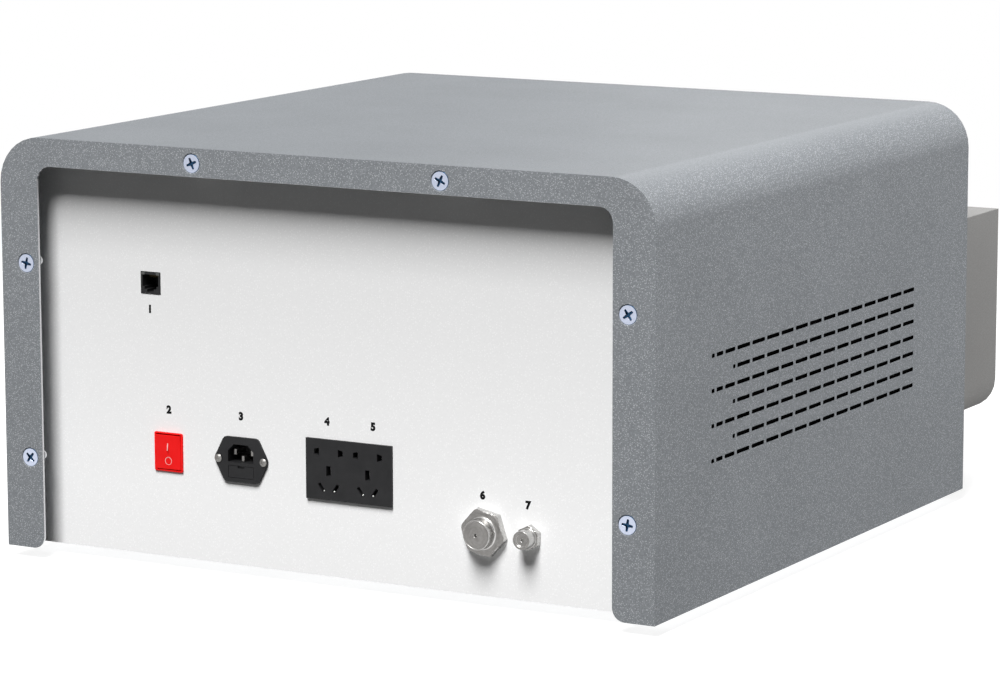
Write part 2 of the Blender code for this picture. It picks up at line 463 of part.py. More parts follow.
def combine(target, others, operation):
    """Applies an exact Boolean with each of the others, which are used up."""
    for other in others:
        modifier = target.modifiers.new("combine", "BOOLEAN")
        modifier.operation, modifier.solver, modifier.object = operation, "EXACT", other
        made = evaluated_mesh(target)
        target.modifiers.clear()
        old, target.data = target.data, made
        bpy.data.meshes.remove(old)
        made.name = target.name
        remove(other)
    return target


def cut(target, *others):
    return combine(target, others, "DIFFERENCE")


def join(target, *others):
    return combine(target, others, "UNION")


def gather(name, pieces):
    """Separate pieces as one mesh, for use as one cutter."""
    sheet, mesh = bmesh.new(), bpy.data.meshes.new(name)
    for piece in pieces:
        piece.data.transform(piece.matrix_world)
        sheet.from_mesh(piece.data)
        remove(piece)
    sheet.to_mesh(mesh)
    sheet.free()
    return linked(name, mesh)


def move(obj, matrix):
    obj.matrix_world = matrix @ obj.matrix_world
    bpy.context.view_layer.update()
    return obj


def hang(obj, pivot):
    """Puts the object's origin at the pivot of its joint, with its axes along the world's."""
    seat = Matrix.Translation(pivot)
    obj.data.transform(seat.inverted() @ obj.matrix_world)
    obj.matrix_world = seat
    bpy.context.view_layer.update()
    return obj


def smooth_path(points, steps=3):
    """A Catmull-Rom curve through the points, with its first and last stretches straight."""
    points = [Vector(p) for p in points]
    lead = (points[1] - points[0]).normalized() * (points[2] - points[1]).length * 2
    trail = (points[-1] - points[-2]).normalized() * (points[-2] - points[-3]).length * 2
    inner = [points[2] - lead, *points[1:-1], points[-3] + trail]
    path = [points[0]]
    for a, b, c, d in zip(inner, inner[1:], inner[2:], inner[3:]):
        for k in range(steps):
            t = k / steps
            bend = (a * 2 - b * 5 + c * 4 - d) * t**2 + (b * 3 - a - c * 3 + d) * t**3
            path.append((b * 2 + (c - a) * t + bend) / 2)
    return [*path, points[-2], points[-1]]


def along(anchor, steps):
    """The places that lie these steps from the anchor."""
    return [Vector(anchor) + Vector(step) for step in steps]


# Enclosure


def arch(half_w, top, bottom, radius, steps=8):
    """The cover's outline from behind: square below, round at the two top corners."""
    return [
        (-half_w, bottom),
        (half_w, bottom),
        *arc((half_w - radius, top - radius), radius, 0, 90, steps),
        *arc((-half_w + radius, top - radius), radius, 90, 180, steps),
    ]


def flange_opening():
    """The window that each flange leaves, open below, its two legs rounded at their inner feet."""
    half, top, foot = COVER_W / 2 - FLANGE_SIDE, Z0 + COVER_H - FLANGE_TOP, FLANGE_FOOT_R
    right = [
        (half + foot, Z0 - CUT),
        *arc((half + foot, Z0 + foot), foot, -90, -180, 4),
        *arc((half - FLANGE_CORNER_R, top - FLANGE_CORNER_R), FLANGE_CORNER_R, 0, 90, 4),
    ]
    return right + [(-x, z) for x, z in reversed(right)]


def vent_cutters():
    """One bar per slot, long enough to cut both sides of the cover at once."""
    bars, reach = [], COVER_W / 2 + CUT
    for row in range(VENT_ROWS):
        z, half = Z0 + VENT_TOP - row * VENT_PITCH_Z, VENT_H / 2
        extra = VENT_SHORT_ROW if row % 2 else VENT_LONG_ROW
        full = [(VENT_START + k * VENT_PITCH_Y, VENT_L) for k in range(VENT_FULL)]
        for start, length in (*extra, *full):
            high = REAR_Y - start
            bars.append(box("vent", (-reach, reach), (high - length, high), (z - half, z + half)))
    return gather("vents", bars)


def sink_cutter(x, z, face_y, outward):
    """A countersink and its hole: face_y is the flange's outer face, outward the way it faces."""
    depth = SINK_R - SINK_HOLE_R
    profile = [(0, SINK_PAST), (SINK_R + SINK_PAST, SINK_PAST), (SINK_HOLE_R, -depth),
               (SINK_HOLE_R, -SCREW_L - CUT), (0, -SCREW_L - CUT)]
    profile = [(r, outward * h) for r, h in profile]
    return lathe("sink", profile, "Y", (x, face_y, Z0 + z), 12)


def make_cover():
    shell = prism("cover", arch(COVER_W / 2, Z0 + COVER_H, Z0, CORNER_R), "Y", FRONT_Y, REAR_Y)
    inside = arch(COVER_W / 2 - SHEET, Z0 + COVER_H - SHEET, Z0 - CUT, CORNER_R - SHEET)
    cut(shell, prism("inside", inside, "Y", FRONT_Y + SHEET, REAR_Y - SHEET))
    cut(shell, prism("ends", flange_opening(), "Y", FRONT_Y - CUT, REAR_Y + CUT))
    sinks = [sink_cutter(x, z, y, way) for x, z in SCREW_AT for y, way in ((REAR_Y, 1), (FRONT_Y, -1))]
    cut(shell, gather("sinks", sinks))
    cut(shell, vent_cutters())
    return paint(shell, **GREY)


def make_base_tray():
    low, high = FRONT_PANEL_Y + PANEL_T + GAP, REAR_PANEL_Y - PANEL_T - GAP
    tray, wall = box("base_tray", (-PANEL_X, PANEL_X), (low, high), (Z0, Z0 + TRAY_H)), TRAY_WALL
    room = (-PANEL_X + wall, PANEL_X - wall), (low + wall, high - wall), (Z0 + TRAY_T, Z0 + TRAY_H + CUT)
    return paint(cut(tray, box("room", *room)), **ZINC)


def make_feet():
    x, y = SIDE_X - FOOT_IN_X, REAR_Y - FOOT_IN_Y
    top = FEET_H - GAP
    profile = ((0, top), (FOOT_R, top), (FOOT_R, FOOT_EDGE), (FOOT_R - FOOT_EDGE, 0), (0, 0))
    for name, sx, sy in (("foot_rl", 1, 1), ("foot_rr", -1, 1), ("foot_fl", 1, -1), ("foot_fr", -1, -1)):
        paint(lathe(name, profile, "Z", (sx * x, sy * y, 0), 16), **RUBBER)


def panel(name, outer_y, outward):
    outline = arch(PANEL_X, Z0 + PANEL_H, Z0, PANEL_R)
    return prism(name, outline, "Y", *sorted((outer_y, outer_y - outward * PANEL_T)))


def make_rear_panel():
    """The sheet that carries the connectors, with pressed-in studs for the flange's two top screws."""
    sheet = panel("rear_panel", REAR_PANEL_Y, 1)
    for x, z in SCREW_AT:
        if abs(x) > TOP_SCREW_X:
            continue
        reach = (REAR_PANEL_Y - PANEL_T / 2, REAR_Y - SHEET - GAP)
        join(sheet, cylinder("standoff", "Y", (x, 0, Z0 + z), STANDOFF_R, *reach, 12))
        cut(sheet, sink_cutter(x, z, REAR_Y, 1))
    y = (REAR_PANEL_Y - PANEL_T - CUT, REAR_PANEL_Y + CUT)
    holes = []
    for (x, z), (w, h) in ((LAN_AT, (LAN_W / 2, LAN_H / 2)), (SWITCH_AT, SWITCH_BODY),
                           (INLET_AT, INLET_BODY), (OUTLET_AT, OUTLET_BODY)):
        w, h = w + GAP, h + GAP
        holes.append(box("hole", (x - w, x + w), y, (Z0 + z - h, Z0 + z + h)))
    for (x, z), r in ((WASTE_AT, WASTE_STEM_R), (ARGON_AT, ARGON_STEM_R)):
        holes.append(cylinder("hole", "Y", (x, 0, Z0 + z), r + GAP, *y, 16))
    cut(sheet, gather("holes", holes))
    return paint(sheet, **WHITE)


def make_side_channels():
    """Bent channels between rear panel and flange: clinched nuts take the flange's side screws, and small
    tabs show past the flange."""
    low, high = REAR_PANEL_Y + GAP, REAR_Y - SHEET - GAP
    web, foot, lip, t = PANEL_X - CHANNEL_T, PANEL_X - CHANNEL_FOOT, PANEL_X - CHANNEL_LIP, CHANNEL_T
    outline = [(PANEL_X, low), (PANEL_X, high), (lip, high), (lip, high - t), (web, high - t),
               (web, low + t), (foot, low + t), (foot, low)]
    for name, side in (("side_channel_left", 1), ("side_channel_right", -1)):
        screws = [(x, z) for x, z in SCREW_AT if x * side > TOP_SCREW_X]
        heights = [Z0 + z for _, z in screws]
        z0, z1 = min(heights) - CHANNEL_PAST, max(heights) + CHANNEL_PAST
        channel = prism(name, [(side * u, v) for u, v in outline], "Z", z0, z1)
        for x, z in screws:
            ends = (high - t - CLINCH_T, high - t / 2)
            join(channel, cylinder("nut", "Y", (x, 0, Z0 + z), CLINCH_R, *ends, 12))
            middle = (side * (SIDE_X - FLANGE_SIDE - NUB_REACH + NUB_R), 0, Z0 + z + NUB_RISE)
            join(channel, cylinder("nub", "Y", middle, NUB_R, high - t + NUB_BACK, high - NUB_BACK, 24))
        cut(channel, gather("sinks", [sink_cutter(x, z, REAR_Y, 1) for x, z in screws]))
        paint(channel, **WHITE)


def make_rear_screws():
    depth = SCREW_HEAD_R - SCREW_SHANK_R
    profile = ((0, 0), (SCREW_HEAD_R, 0), (SCREW_SHANK_R, -depth), (SCREW_SHANK_R, -SCREW_L), (0, -SCREW_L))
    for i, (x, z) in enumerate(SCREW_AT):
        paint(lathe(f"cover_screw_{i + 1}", profile, "Y", (x, REAR_Y - SCREW_SUNK, Z0 + z), 12), **ZINC)


# Rear connectors


def make_lan_jack():
    """Network socket: its opening has the stepped lower corners that the plug's latch needs."""
    x, z = LAN_AT[0], Z0 + LAN_AT[1]
    front, back = REAR_PANEL_Y + LAN_PROUD, REAR_PANEL_Y - LAN_L
    jack = box("lan_jack", (x - LAN_W / 2, x + LAN_W / 2), (back, front), (z - LAN_H / 2, z + LAN_H / 2))
    for w, rise in LAN_STEPS:
        room = (x - w, x + w), (back + LAN_BACK, front + CUT), (z - LAN_LOW + rise, z + LAN_TOP)
        cut(jack, box("room", *room))
    return paint(jack, **BLACK)


def make_switch():
    """A full-face rocker in a thin frame: the lower end is pressed in, which is off."""
    x, z, face = SWITCH_AT[0], Z0 + SWITCH_AT[1], REAR_PANEL_Y + GAP
    (w, h), wall = SWITCH_BODY, SWITCH_WALL
    body = box("switch_body", (x - w, x + w), (face - SWITCH_L, face + SWITCH_RIM / 2), (z - h, z + h))
    frame = (x - SWITCH_W / 2, x + SWITCH_W / 2), (z - SWITCH_H / 2, z + SWITCH_H / 2)
    join(body, prism("rim", rounded(*frame, SWITCH_RIM_R, 2), "Y", face, face + SWITCH_RIM))
    cut(body, box("room", (x - w + wall, x + w - wall), (face - SWITCH_ROOM, face + SWITCH_RIM + CUT),
                  (z - h + wall / 2, z + h - wall / 2)))
    paint(body, **RED)
    w, end, foot = w - wall - GAP, h - ROCKER_SHORT, ROCKER_DEEP + ROCKER_STEM
    profile = [(-end, ROCKER_LOW), (0, ROCKER_MIDDLE), (end, ROCKER_HIGH), (end - ROCKER_SLOPE, -ROCKER_DEEP),
               (ROCKER_STEM, -foot), (-ROCKER_STEM, -foot), (ROCKER_SLOPE - end, -ROCKER_DEEP)]
    rocker = prism("switch_rocker", [(face + y, z + up) for up, y in profile], "X", x - w, x + w)
    return paint(hang(rocker, (x, face - ROCKER_PIVOT, z)), **RED)


def inlet_outline():
    """Six-sided plate with rounded corners, pointed at its two screws."""
    (x, z), w, h, flat = INLET_AT, INLET_W / 2, INLET_H / 2, INLET_FLAT
    corners = [Vector(c) for c in ((w, 0), (flat, h), (-flat, h), (-w, 0), (-flat, -h), (flat, -h))]
    outline = []
    for i, here in enumerate(corners):
        a, b = (corners[i - 1] - here).normalized(), (corners[(i + 1) % 6] - here).normalized()
        for t in (0, 0.5, 1):
            point = here + a * INLET_R * (1 - t) ** 2 + b * INLET_R * t**2
            outline.append((x + point.x, Z0 + z + point.y))
    return outline


def make_inlet():
    """Power inlet: plate, and a block behind it with the recess, the pins' holes and the drawer's room."""
    x, z, face, back = INLET_AT[0], Z0 + INLET_AT[1], INLET_FACE, REAR_PANEL_Y - INLET_BLOCK_L
    body = prism("inlet_body", inlet_outline(), "Y", REAR_PANEL_Y + GAP, face)
    across, up = around(x, z, *INLET_BODY)
    join(body, box("block", across, (back, REAR_PANEL_Y + LAP), up))
    (left, right), (low, high), slant = RECESS_X, (Z0 + RECESS_Z[0], Z0 + RECESS_Z[1]), RECESS_SLANT
    recess = [(left, low), (right, low), (right, high - slant), (right - slant, high),
              (left + slant, high), (left, high - slant)]
    cut(body, prism("recess", recess, "Y", face - RECESS_L, face + CUT))
    for px, pz in PIN_AT:
        across, up = around(px, Z0 + pz, PIN_W / 2 + PIN_FREE, PIN_H / 2 + PIN_FREE)
        cut(body, box("pin_hole", across, (back - CUT, face - RECESS_L + CUT), up))
    low, high = Z0 + FUSE_Z[0], Z0 + FUSE_Z[1]
    cut(body, box("fuse_room", (x - FUSE_X - GAP, x + FUSE_X + GAP), (face - FUSE_L - GAP, face + CUT),
                  (low - GAP, high + GAP)))
    for side in (-1, 1):
        cut(body, cylinder("screw_hole", "Y", (x + side * INLET_SCREW_X, 0, z), INLET_SCREW_R, REAR_PANEL_Y,
                           face + CUT, 8))
    paint(body, **BLACK)
    names = ("inlet_pin_line", "inlet_pin_neutral", "inlet_pin_earth")
    for name, (px, pz), tip in zip(names, PIN_AT, PIN_SHORT):
        across, up = around(px, Z0 + pz, PIN_W / 2, PIN_H / 2)
        paint(box(name, across, (back - PIN_TAIL, face - tip), up), **BRASS)


def make_fuse_drawer():
    """Drawer below the inlet's recess: open above for two fuses, with a notch to pull it out by."""
    x, low, high, front = INLET_AT[0], Z0 + FUSE_Z[0], Z0 + FUSE_Z[1], INLET_FACE - FUSE_SUNK
    back = INLET_FACE - FUSE_L
    drawer = box("fuse_drawer", (x - FUSE_X, x + FUSE_X), (back, front), (low, high))
    inner = FUSE_X - FUSE_WALL
    tray = box("tray", (x - inner, x + inner), (back + FUSE_WALL, INLET_FACE - FUSE_FRONT),
               (low + FUSE_FLOOR, high + CUT))
    notch = box("notch", (x - FUSE_NOTCH, x + FUSE_NOTCH), (front - FUSE_NOTCH_L, front + CUT),
                (high - FUSE_NOTCH_H, high + CUT))
    return paint(hang(cut(drawer, tray, notch), (x, INLET_FACE, low)), **BLACK)


def make_outlets():
    """Twin five-hole socket: per socket two upper holes, an earth slot and two slanted slots."""
    x, z, face = OUTLET_AT[0], Z0 + OUTLET_AT[1], REAR_PANEL_Y + OUTLET_PROUD
    across, up = around(x, z, OUTLET_W / 2, OUTLET_H / 2)
    block = box("outlet_block", across, (REAR_PANEL_Y + GAP, face), up)
    across, up = around(x, z, *OUTLET_BODY)
    join(block, box("body", across, (REAR_PANEL_Y - OUTLET_L, REAR_PANEL_Y + LAP), up))
    holes, y, top, (tall, short) = [], (face - SOCKET_L, face + CUT), Z0 + UPPER_HOLE_Z, UPPER_HOLE_H
    for middle in (x + SOCKET_SHIFT + SOCKET_PITCH / 2, x + SOCKET_SHIFT - SOCKET_PITCH / 2):
        for side in (-1, 1):
            near, far = middle + side * UPPER_HOLE_X[0], middle + side * UPPER_HOLE_X[1]
            holes.append(prism("hole", ((near, top - tall), (far, top - short), (far, top + short),
                                        (near, top + tall)), "Y", *y))
            slot = box("slot", (-SLANT_W, SLANT_W), y, (-SLANT_H, SLANT_H))
            place = Matrix.Translation((middle + side * SLANT_X, 0, Z0 + SLANT_Z))
            holes.append(move(slot, place @ Matrix.Rotation(side * SLANT_TURN, 4, "Y")))
        across, up = (middle - EARTH_W, middle + EARTH_W), (Z0 + EARTH_Z[0], Z0 + EARTH_Z[1])
        holes.append(box("earth", across, y, up))
    return paint(cut(block, gather("holes", holes)), **BLACK)


def make_gas_fitting(name, at, turn, hex_r, boss_r, stem_r, end_r, bore_r, nut_r, nose):
    """A bulkhead union: hexagon and boss outside the panel, a hose end and a nut inside it."""
    x, z, seat, boss = at[0], Z0 + at[1], REAR_PANEL_Y + GAP, REAR_PANEL_Y + BOSS_Y
    shoulder = REAR_PANEL_Y - SHOULDER
    profile = [*reversed([(r, boss + h) for r, h in nose]), (boss_r, boss), (boss_r, seat + LAP),
               (stem_r, seat + LAP), (stem_r, shoulder), (end_r, shoulder), (end_r, FITTING_END),
               (0, FITTING_END)]
    body = lathe(name, profile, "Y", (x, 0, z), 16)
    join(body, prism("hex", ring_of(hex_r, 6, (x, z), turn), "Y", seat, REAR_PANEL_Y + HEX_Y))
    cut(body, cylinder("bore", "Y", (x, 0, z), bore_r, FITTING_END - CUT, boss + WASTE_TIP + CUT, 12))
    paint(body, **STEEL)
    high = REAR_PANEL_Y - PANEL_T - GAP
    nut = prism(name.replace("fitting", "nut"), ring_of(nut_r, 6, (x, z)), "Y", high - NUT_T, high)
    cut(nut, cylinder("hole", "Y", (x, 0, z), stem_r + GAP, high - NUT_T - CUT, high + CUT, 16))
    paint(nut, **BRASS)


def make_gas_fittings():
    cone = ((WASTE_CONE_R, 0), (WASTE_TIP_R, WASTE_TIP), (0, WASTE_TIP))
    sizes = WASTE_HEX_R, WASTE_BOSS_R, WASTE_STEM_R, WASTE_HOSE_R, WASTE_BORE_R, WASTE_NUT_R
    make_gas_fitting("waste_fitting", WASTE_AT, WASTE_TURN, *sizes, cone)
    cup = ((ARGON_CUP_R, 0), (ARGON_CUP_R, -ARGON_CUP), (0, -ARGON_CUP))
    sizes = ARGON_HEX_R, ARGON_BOSS_R, ARGON_STEM_R, ARGON_HOSE_R, ARGON_BORE_R, ARGON_NUT_R
    make_gas_fitting("argon_fitting", ARGON_AT, ARGON_TURN, *sizes, cup)


# Front panel and spark stand


def make_front_panel():
    sheet = panel("front_panel", FRONT_PANEL_Y, -1)
    y = (FRONT_PANEL_Y - CUT, FRONT_PANEL_Y + PANEL_T + CUT)
    holes = [cylinder("hole", "Y", (x, 0, Z0 + z), SINK_HOLE_R, *y, 8) for x, z in SCREW_AT]
    for (x, z), r in ((WASTE_PORT, WASTE_HOSE_R), (ARGON_PORT, ARGON_HOSE_R), (CABLE_PORT, CABLE_R),
                      ((SPARK_X, LIGHT_RISE), LIGHT_TUBE_R)):
        holes.append(cylinder("hole", "Y", (x, 0, Z0 + z), r + PORT_CLEAR, *y, 12))
    holes += [cylinder("hole", "Y", (x, 0, BUTTON_Z), BUTTON_HOLE_R, *y, 16) for _, x, _, _ in BUTTONS]
    return paint(cut(sheet, gather("holes", holes)), **WHITE)


def make_buttons():
    """Each cap stands off the panel by its travel, and a flange behind keeps it in."""
    stem, keep, behind, lip = BUTTON_HOLE_R - GAP, BUTTON_KEEP, PANEL_T + GAP, BUTTON_LIP
    neck = BUTTON_TRAVEL + BUTTON_NECK
    for name, x, cap_r, look in BUTTONS:
        profile = ((0, behind + BUTTON_KEEP_T), (stem + keep, behind + BUTTON_KEEP_T), (stem + keep, behind),
                   (stem, behind), (stem, -neck), (cap_r, -neck), (cap_r, lip - BUTTON_CAP),
                   (cap_r - lip, -BUTTON_CAP), (0, -BUTTON_CAP))
        button = lathe(name, profile, "Y", (x, FRONT_PANEL_Y, BUTTON_Z), 16)
        paint(hang(button, (x, FRONT_PANEL_Y, BUTTON_Z)), **look)


def stand_outline(inset=0.0):
    (x0, x1), (z0, z1), r = STAND_X, STAND_Z, STAND_R - inset
    x0, x1, z0, z1 = x0 + inset, x1 - inset, z0 + inset, z1 - inset
    return [*arc((x1 - r, z0 + r), r, -90, 0, 6), (x1, z1), (x0, z1), *arc((x0 + r, z0 + r), r, 180, 270, 6)]


def make_stand_housing():
    """Open towards the front panel, with holes for chamber, post and hand, and the door's lugs."""
    back, top, wall = FRONT_PANEL_Y - GAP, STAND_TOP, STAND_WALL
    shell, under = prism("stand_housing", stand_outline(), "Y", STAND_FRONT, back), top - wall - CUT
    cut(shell, prism("inside", stand_outline(wall), "Y", STAND_FRONT + wall, back + CUT))
    w, d = CHAMBER_X / 2 + TABLE_HOLE_CLEAR, CHAMBER_Y / 2 + TABLE_HOLE_CLEAR
    table_hole = rounded(*around(SPARK_X, SPARK_Y, w, d), TABLE_HOLE_R)
    cut(shell, prism("table_hole", table_hole, "Z", under, top + CUT))
    doorway = rounded(*((low + DOOR_LAP, high - DOOR_LAP) for low, high in (DOOR_X, DOOR_Z)), DOORWAY_R)
    cut(shell, prism("doorway", doorway, "Y", STAND_FRONT - CUT, STAND_FRONT + wall + CUT))
    x, y = (HINGE_X - LUG_HALF, HINGE_X + LUG_HALF), (HINGE_Y - LUG_HALF, STAND_FRONT + LAP)
    for low, high in ((DOOR_Z[0] - LUG_T, DOOR_Z[0] - GAP), (DOOR_Z[1] + GAP, DOOR_Z[1] + LUG_T)):
        join(shell, box("lug", x, y, (low, high)))
    reach = (DOOR_Z[0] - PIN_HOLE_REACH, DOOR_Z[1] + PIN_HOLE_REACH)
    cut(shell, cylinder("pin_hole", "Z", (HINGE_X, HINGE_Y, 0), bore(HINGE_PIN_R, 12), *reach, 12))
    cut(shell, cylinder("post_hole", "Z", (POST_X, POST_Y, 0), POST_SPIGOT_R + GAP, under, top + CUT, 16))
    return paint(shell, **STAND_GREY)


def make_stand_door():
    """Front door of the stand: plate, hinge barrel with its pin, and a bow pull."""
    y = (STAND_FRONT - GAP - DOOR_T, STAND_FRONT - GAP)
    door = box("stand_door", (DOOR_X[0], HINGE_X), y, DOOR_Z)
    join(door, cylinder("barrel", "Z", (HINGE_X, HINGE_Y, 0), HINGE_R, *DOOR_Z, 12))
    join(door, cylinder("pin", "Z", (HINGE_X, HINGE_Y, 0), HINGE_PIN_R, DOOR_Z[0] - PIN_REACH,
                        DOOR_Z[1] + PIN_REACH, 12))
    x, z, out = DOOR_X[0] + PULL_IN, (DOOR_Z[0] + DOOR_Z[1]) / 2, y[0] - PULL_OUT
    low, high = z - PULL_HALF, z + PULL_HALF
    bow = ((x, y[0] + LAP, low), (x, out + PULL_EASE, low), (x, out, low + PULL_BEND),
           (x, out, high - PULL_BEND), (x, out + PULL_EASE, high), (x, y[0] + LAP, high))
    join(door, tube("pull", smooth_path(bow, 2), PULL_R))
    return paint(hang(door, (HINGE_X, HINGE_Y, DOOR_Z[0])), **STAND_GREY)


def make_spark_table():
    low, r, flared = TABLE_TOP - TABLE_T, SPARK_HOLE_R, SPARK_HOLE_R + SPARK_HOLE_FLARE
    outline = rounded(*around(SPARK_X, SPARK_Y, TABLE_X / 2, TABLE_Y / 2), TABLE_R)
    plate = prism("spark_table", outline, "Z", low, TABLE_TOP)
    hole = ((0, CUT), (r, CUT), (r, -SPARK_HOLE_LIP), (flared, -TABLE_T), (flared, -TABLE_T - CUT),
            (0, -TABLE_T - CUT))
    cut(plate, lathe("spark_hole", hole, "Z", (SPARK_X, SPARK_Y, TABLE_TOP), 16))
    cut(plate, cylinder("post_hole", "Z", (POST_X, POST_Y, 0), POST_R + GAP, low - CUT, TABLE_TOP + CUT, 16))
    return paint(plate, **STEEL)


def make_spark_chamber():
    """Block under the table: the spark space, a port for the light, and one for each gas."""
    low, top = CHAMBER_LOW, STAND_TOP
    x, y = around(SPARK_X, SPARK_Y, CHAMBER_X / 2, CHAMBER_Y / 2)
    block, floor, axis = box("spark_chamber", x, y, (low, top)), low + CHAMBER_FLOOR, (SPARK_X, SPARK_Y, 0)
    cut(block, cylinder("room", "Z", axis, CHAMBER_ROOM_R, floor, top + CUT, 16))
    cut(block, cylinder("seat", "Z", axis, ELECTRODE_SEAT_R + GAP, low - CUT, floor + CUT, 16))
    cut(block, cylinder("light", "Y", (SPARK_X, 0, LIGHT_Z), LIGHT_R, SPARK_Y, y[1] + CUT, 16))
    cut(block, cylinder("exhaust", "X", (0, SPARK_Y, EXHAUST_Z), EXHAUST_R, SPARK_X, x[1] + CUT, 12))
    cut(block, cylinder("feed", "X", (0, FEED_Y, FEED_Z), FEED_R, SPARK_X, x[1] + CUT, 8))
    return paint(block, **ALU)


def make_electrode():
    """Insulating base that plugs the chamber from below, and the pointed electrode that it holds."""
    profile = ((0, BASE_H), (BASE_TOP_R, BASE_H), (ELECTRODE_SEAT_R, BASE_NECK),
               (ELECTRODE_SEAT_R, BASE_FLANGE), (BASE_R, BASE_FLANGE), (BASE_R, 0), (0, 0))
    base = lathe("electrode_base", profile, "Z", (SPARK_X, SPARK_Y, BASE_LOW), 16)
    foot, out = BASE_LOW + ELECTRODE_BORE, BASE_LOW + BASE_H + CUT
    cut(base, cylinder("bore", "Z", (SPARK_X, SPARK_Y, 0), ELECTRODE_R + GAP, foot, out, 12))
    paint(base, **PALE)
    tip = TABLE_TOP - ELECTRODE_TIP
    profile = ((0, 0), (ELECTRODE_R, -ELECTRODE_R), (ELECTRODE_R, foot + GAP - tip), (0, foot + GAP - tip))
    paint(lathe("counter_electrode", profile, "Z", (SPARK_X, SPARK_Y, tip), 12), **STEEL)


def make_light_tube():
    """Tube from the chamber to the optics, with the lens seated against a step in its bore."""
    low, high = SPARK_Y + CHAMBER_Y / 2 + GAP, BOX_Y[0] - GAP
    stop, narrow = low + LIGHT_STOP, LIGHT_R - LIGHT_STOP_H
    ring = ((LIGHT_TUBE_R, high), (LIGHT_TUBE_R, low), (LIGHT_R, low), (LIGHT_R, stop), (narrow, stop),
            (narrow, high))
    paint(lathe("light_tube", ring, "Y", (SPARK_X, 0, LIGHT_Z), 16), **ALU)
    lens = ((0, LENS_T), (LIGHT_R - GAP, LENS_T - LENS_EDGE), (LIGHT_R - GAP, LENS_EDGE), (0, 0))
    paint(lathe("lens", lens, "Y", (SPARK_X, stop - LENS_T - GAP, LIGHT_Z), 16), **GLASS)


def make_clamp():
    """Sample clamp: post, swinging arm, and a sprung plunger that presses the sample down."""
    collar, over = TABLE_TOP + GAP, ARM_TOP
    profile = ((0, over + POST_CAP), (POST_R, over + POST_CAP), (POST_R, over), (ARM_PIN_R, over),
               (ARM_PIN_R, ARM_Z - GAP), (POST_R, ARM_Z - GAP), (POST_R, collar + COLLAR_H + COLLAR_SLOPE),
               (COLLAR_R, collar + COLLAR_H), (COLLAR_R, collar), (POST_R, collar),
               (POST_R, TABLE_TOP - TABLE_T), (POST_SPIGOT_R, TABLE_TOP - TABLE_T),
               (POST_SPIGOT_R, STAND_TOP - POST_SPIGOT),
               (0, STAND_TOP - POST_SPIGOT))
    paint(lathe("clamp_post", profile, "Z", (POST_X, POST_Y, 0), 16), **STEEL)
    way = Vector((SPARK_X - POST_X, SPARK_Y - POST_Y))
    length, turn = way.length, math.atan2(way.y, way.x)
    outline = [*arc((0, 0), ARM_W + ARM_BOSS, 90, 270, 8), *arc((length, 0), ARM_W, -90, 90, 8)]
    arm = prism("clamp_arm", outline, "Z", ARM_Z, ARM_Z + ARM_T)
    for x, r in ((0, ARM_PIN_R), (length, PLUNGER_R)):
        cut(arm, cylinder("hole", "Z", (x, 0, 0), bore(r, 16), ARM_Z - CUT, over + CUT, 16))
    move(arm, Matrix.Translation((POST_X, POST_Y, 0)) @ Matrix.Rotation(turn, 4, "Z"))
    paint(hang(arm, (POST_X, POST_Y, ARM_Z)), **ALU)
    pad, knob, edge = SPRING_Z[0] - GAP, over + KNOB_H, KNOB_EDGE
    profile = ((0, knob), (KNOB_R - edge, knob), (KNOB_R, knob - edge), (KNOB_R, over), (PLUNGER_R, over),
               (PLUNGER_R, pad), (PAD_R, pad), (PAD_R, pad - PAD_H + PAD_EDGE),
               (PAD_R - PAD_EDGE, pad - PAD_H), (0, pad - PAD_H))
    plunger = lathe("clamp_plunger", profile, "Z", (SPARK_X, SPARK_Y, 0), 16)
    paint(hang(plunger, (SPARK_X, SPARK_Y, pad)), **STEEL)
    make_spring()


def make_spring():
    """Four coils from a helix, with the least gap between neighbouring turns printed."""
    low, high = SPRING_Z[0] + SPRING_WIRE + GAP, SPRING_Z[1] - SPRING_WIRE - GAP
    count = SPRING_TURNS * SPRING_POINTS
    wire = []
    for k in range(count + 1):
        turn = 2 * math.pi * k / SPRING_POINTS
        x, y = SPARK_X + SPRING_R * math.cos(turn), SPARK_Y + SPRING_R * math.sin(turn)
        wire.append(Vector((x, y, low + (high - low) * k / count)))
    gaps = [(a - b).length for i, a in enumerate(wire) for b in wire[i + SPRING_POINTS // 2:]]
    print(f"plunger_spring: least gap between turns {(min(gaps) - 2 * SPRING_WIRE) / MM:.2f} mm")
    paint(tube("plunger_spring", wire, SPRING_WIRE, 1), **STEEL)


# Optics


def make_optical_chamber():
    """Cast box on four legs, open above, with the light's way in through its front wall."""
    chamber, wall = box("optical_chamber", BOX_X, BOX_Y, BOX_Z), BOX_WALL
    room = [(a + wall, b - wall) for a, b in (BOX_X, BOX_Y)]
    cut(chamber, box("room", *room, (BOX_Z[0] + wall, BOX_Z[1] + CUT)))
    for x in (BOX_X[0], BOX_X[1] - LEG):
        for y in (BOX_Y[0], BOX_Y[1] - LEG):
            join(chamber, box("leg", (x, x + LEG), (y, y + LEG), (FLOOR, BOX_Z[0] + LAP)))
    way_in = BOX_Y[0] - CUT, BOX_Y[0] + wall + CUT
    cut(chamber, cylinder("light", "Y", (SPARK_X, 0, LIGHT_Z), LIGHT_ENTRY_R, *way_in, 16))
    paint(chamber, **ALU)
    paint(box("optical_lid", BOX_X, BOX_Y, (BOX_Z[1] + GAP, BOX_Z[1] + GAP + LID_T)), **ALU)


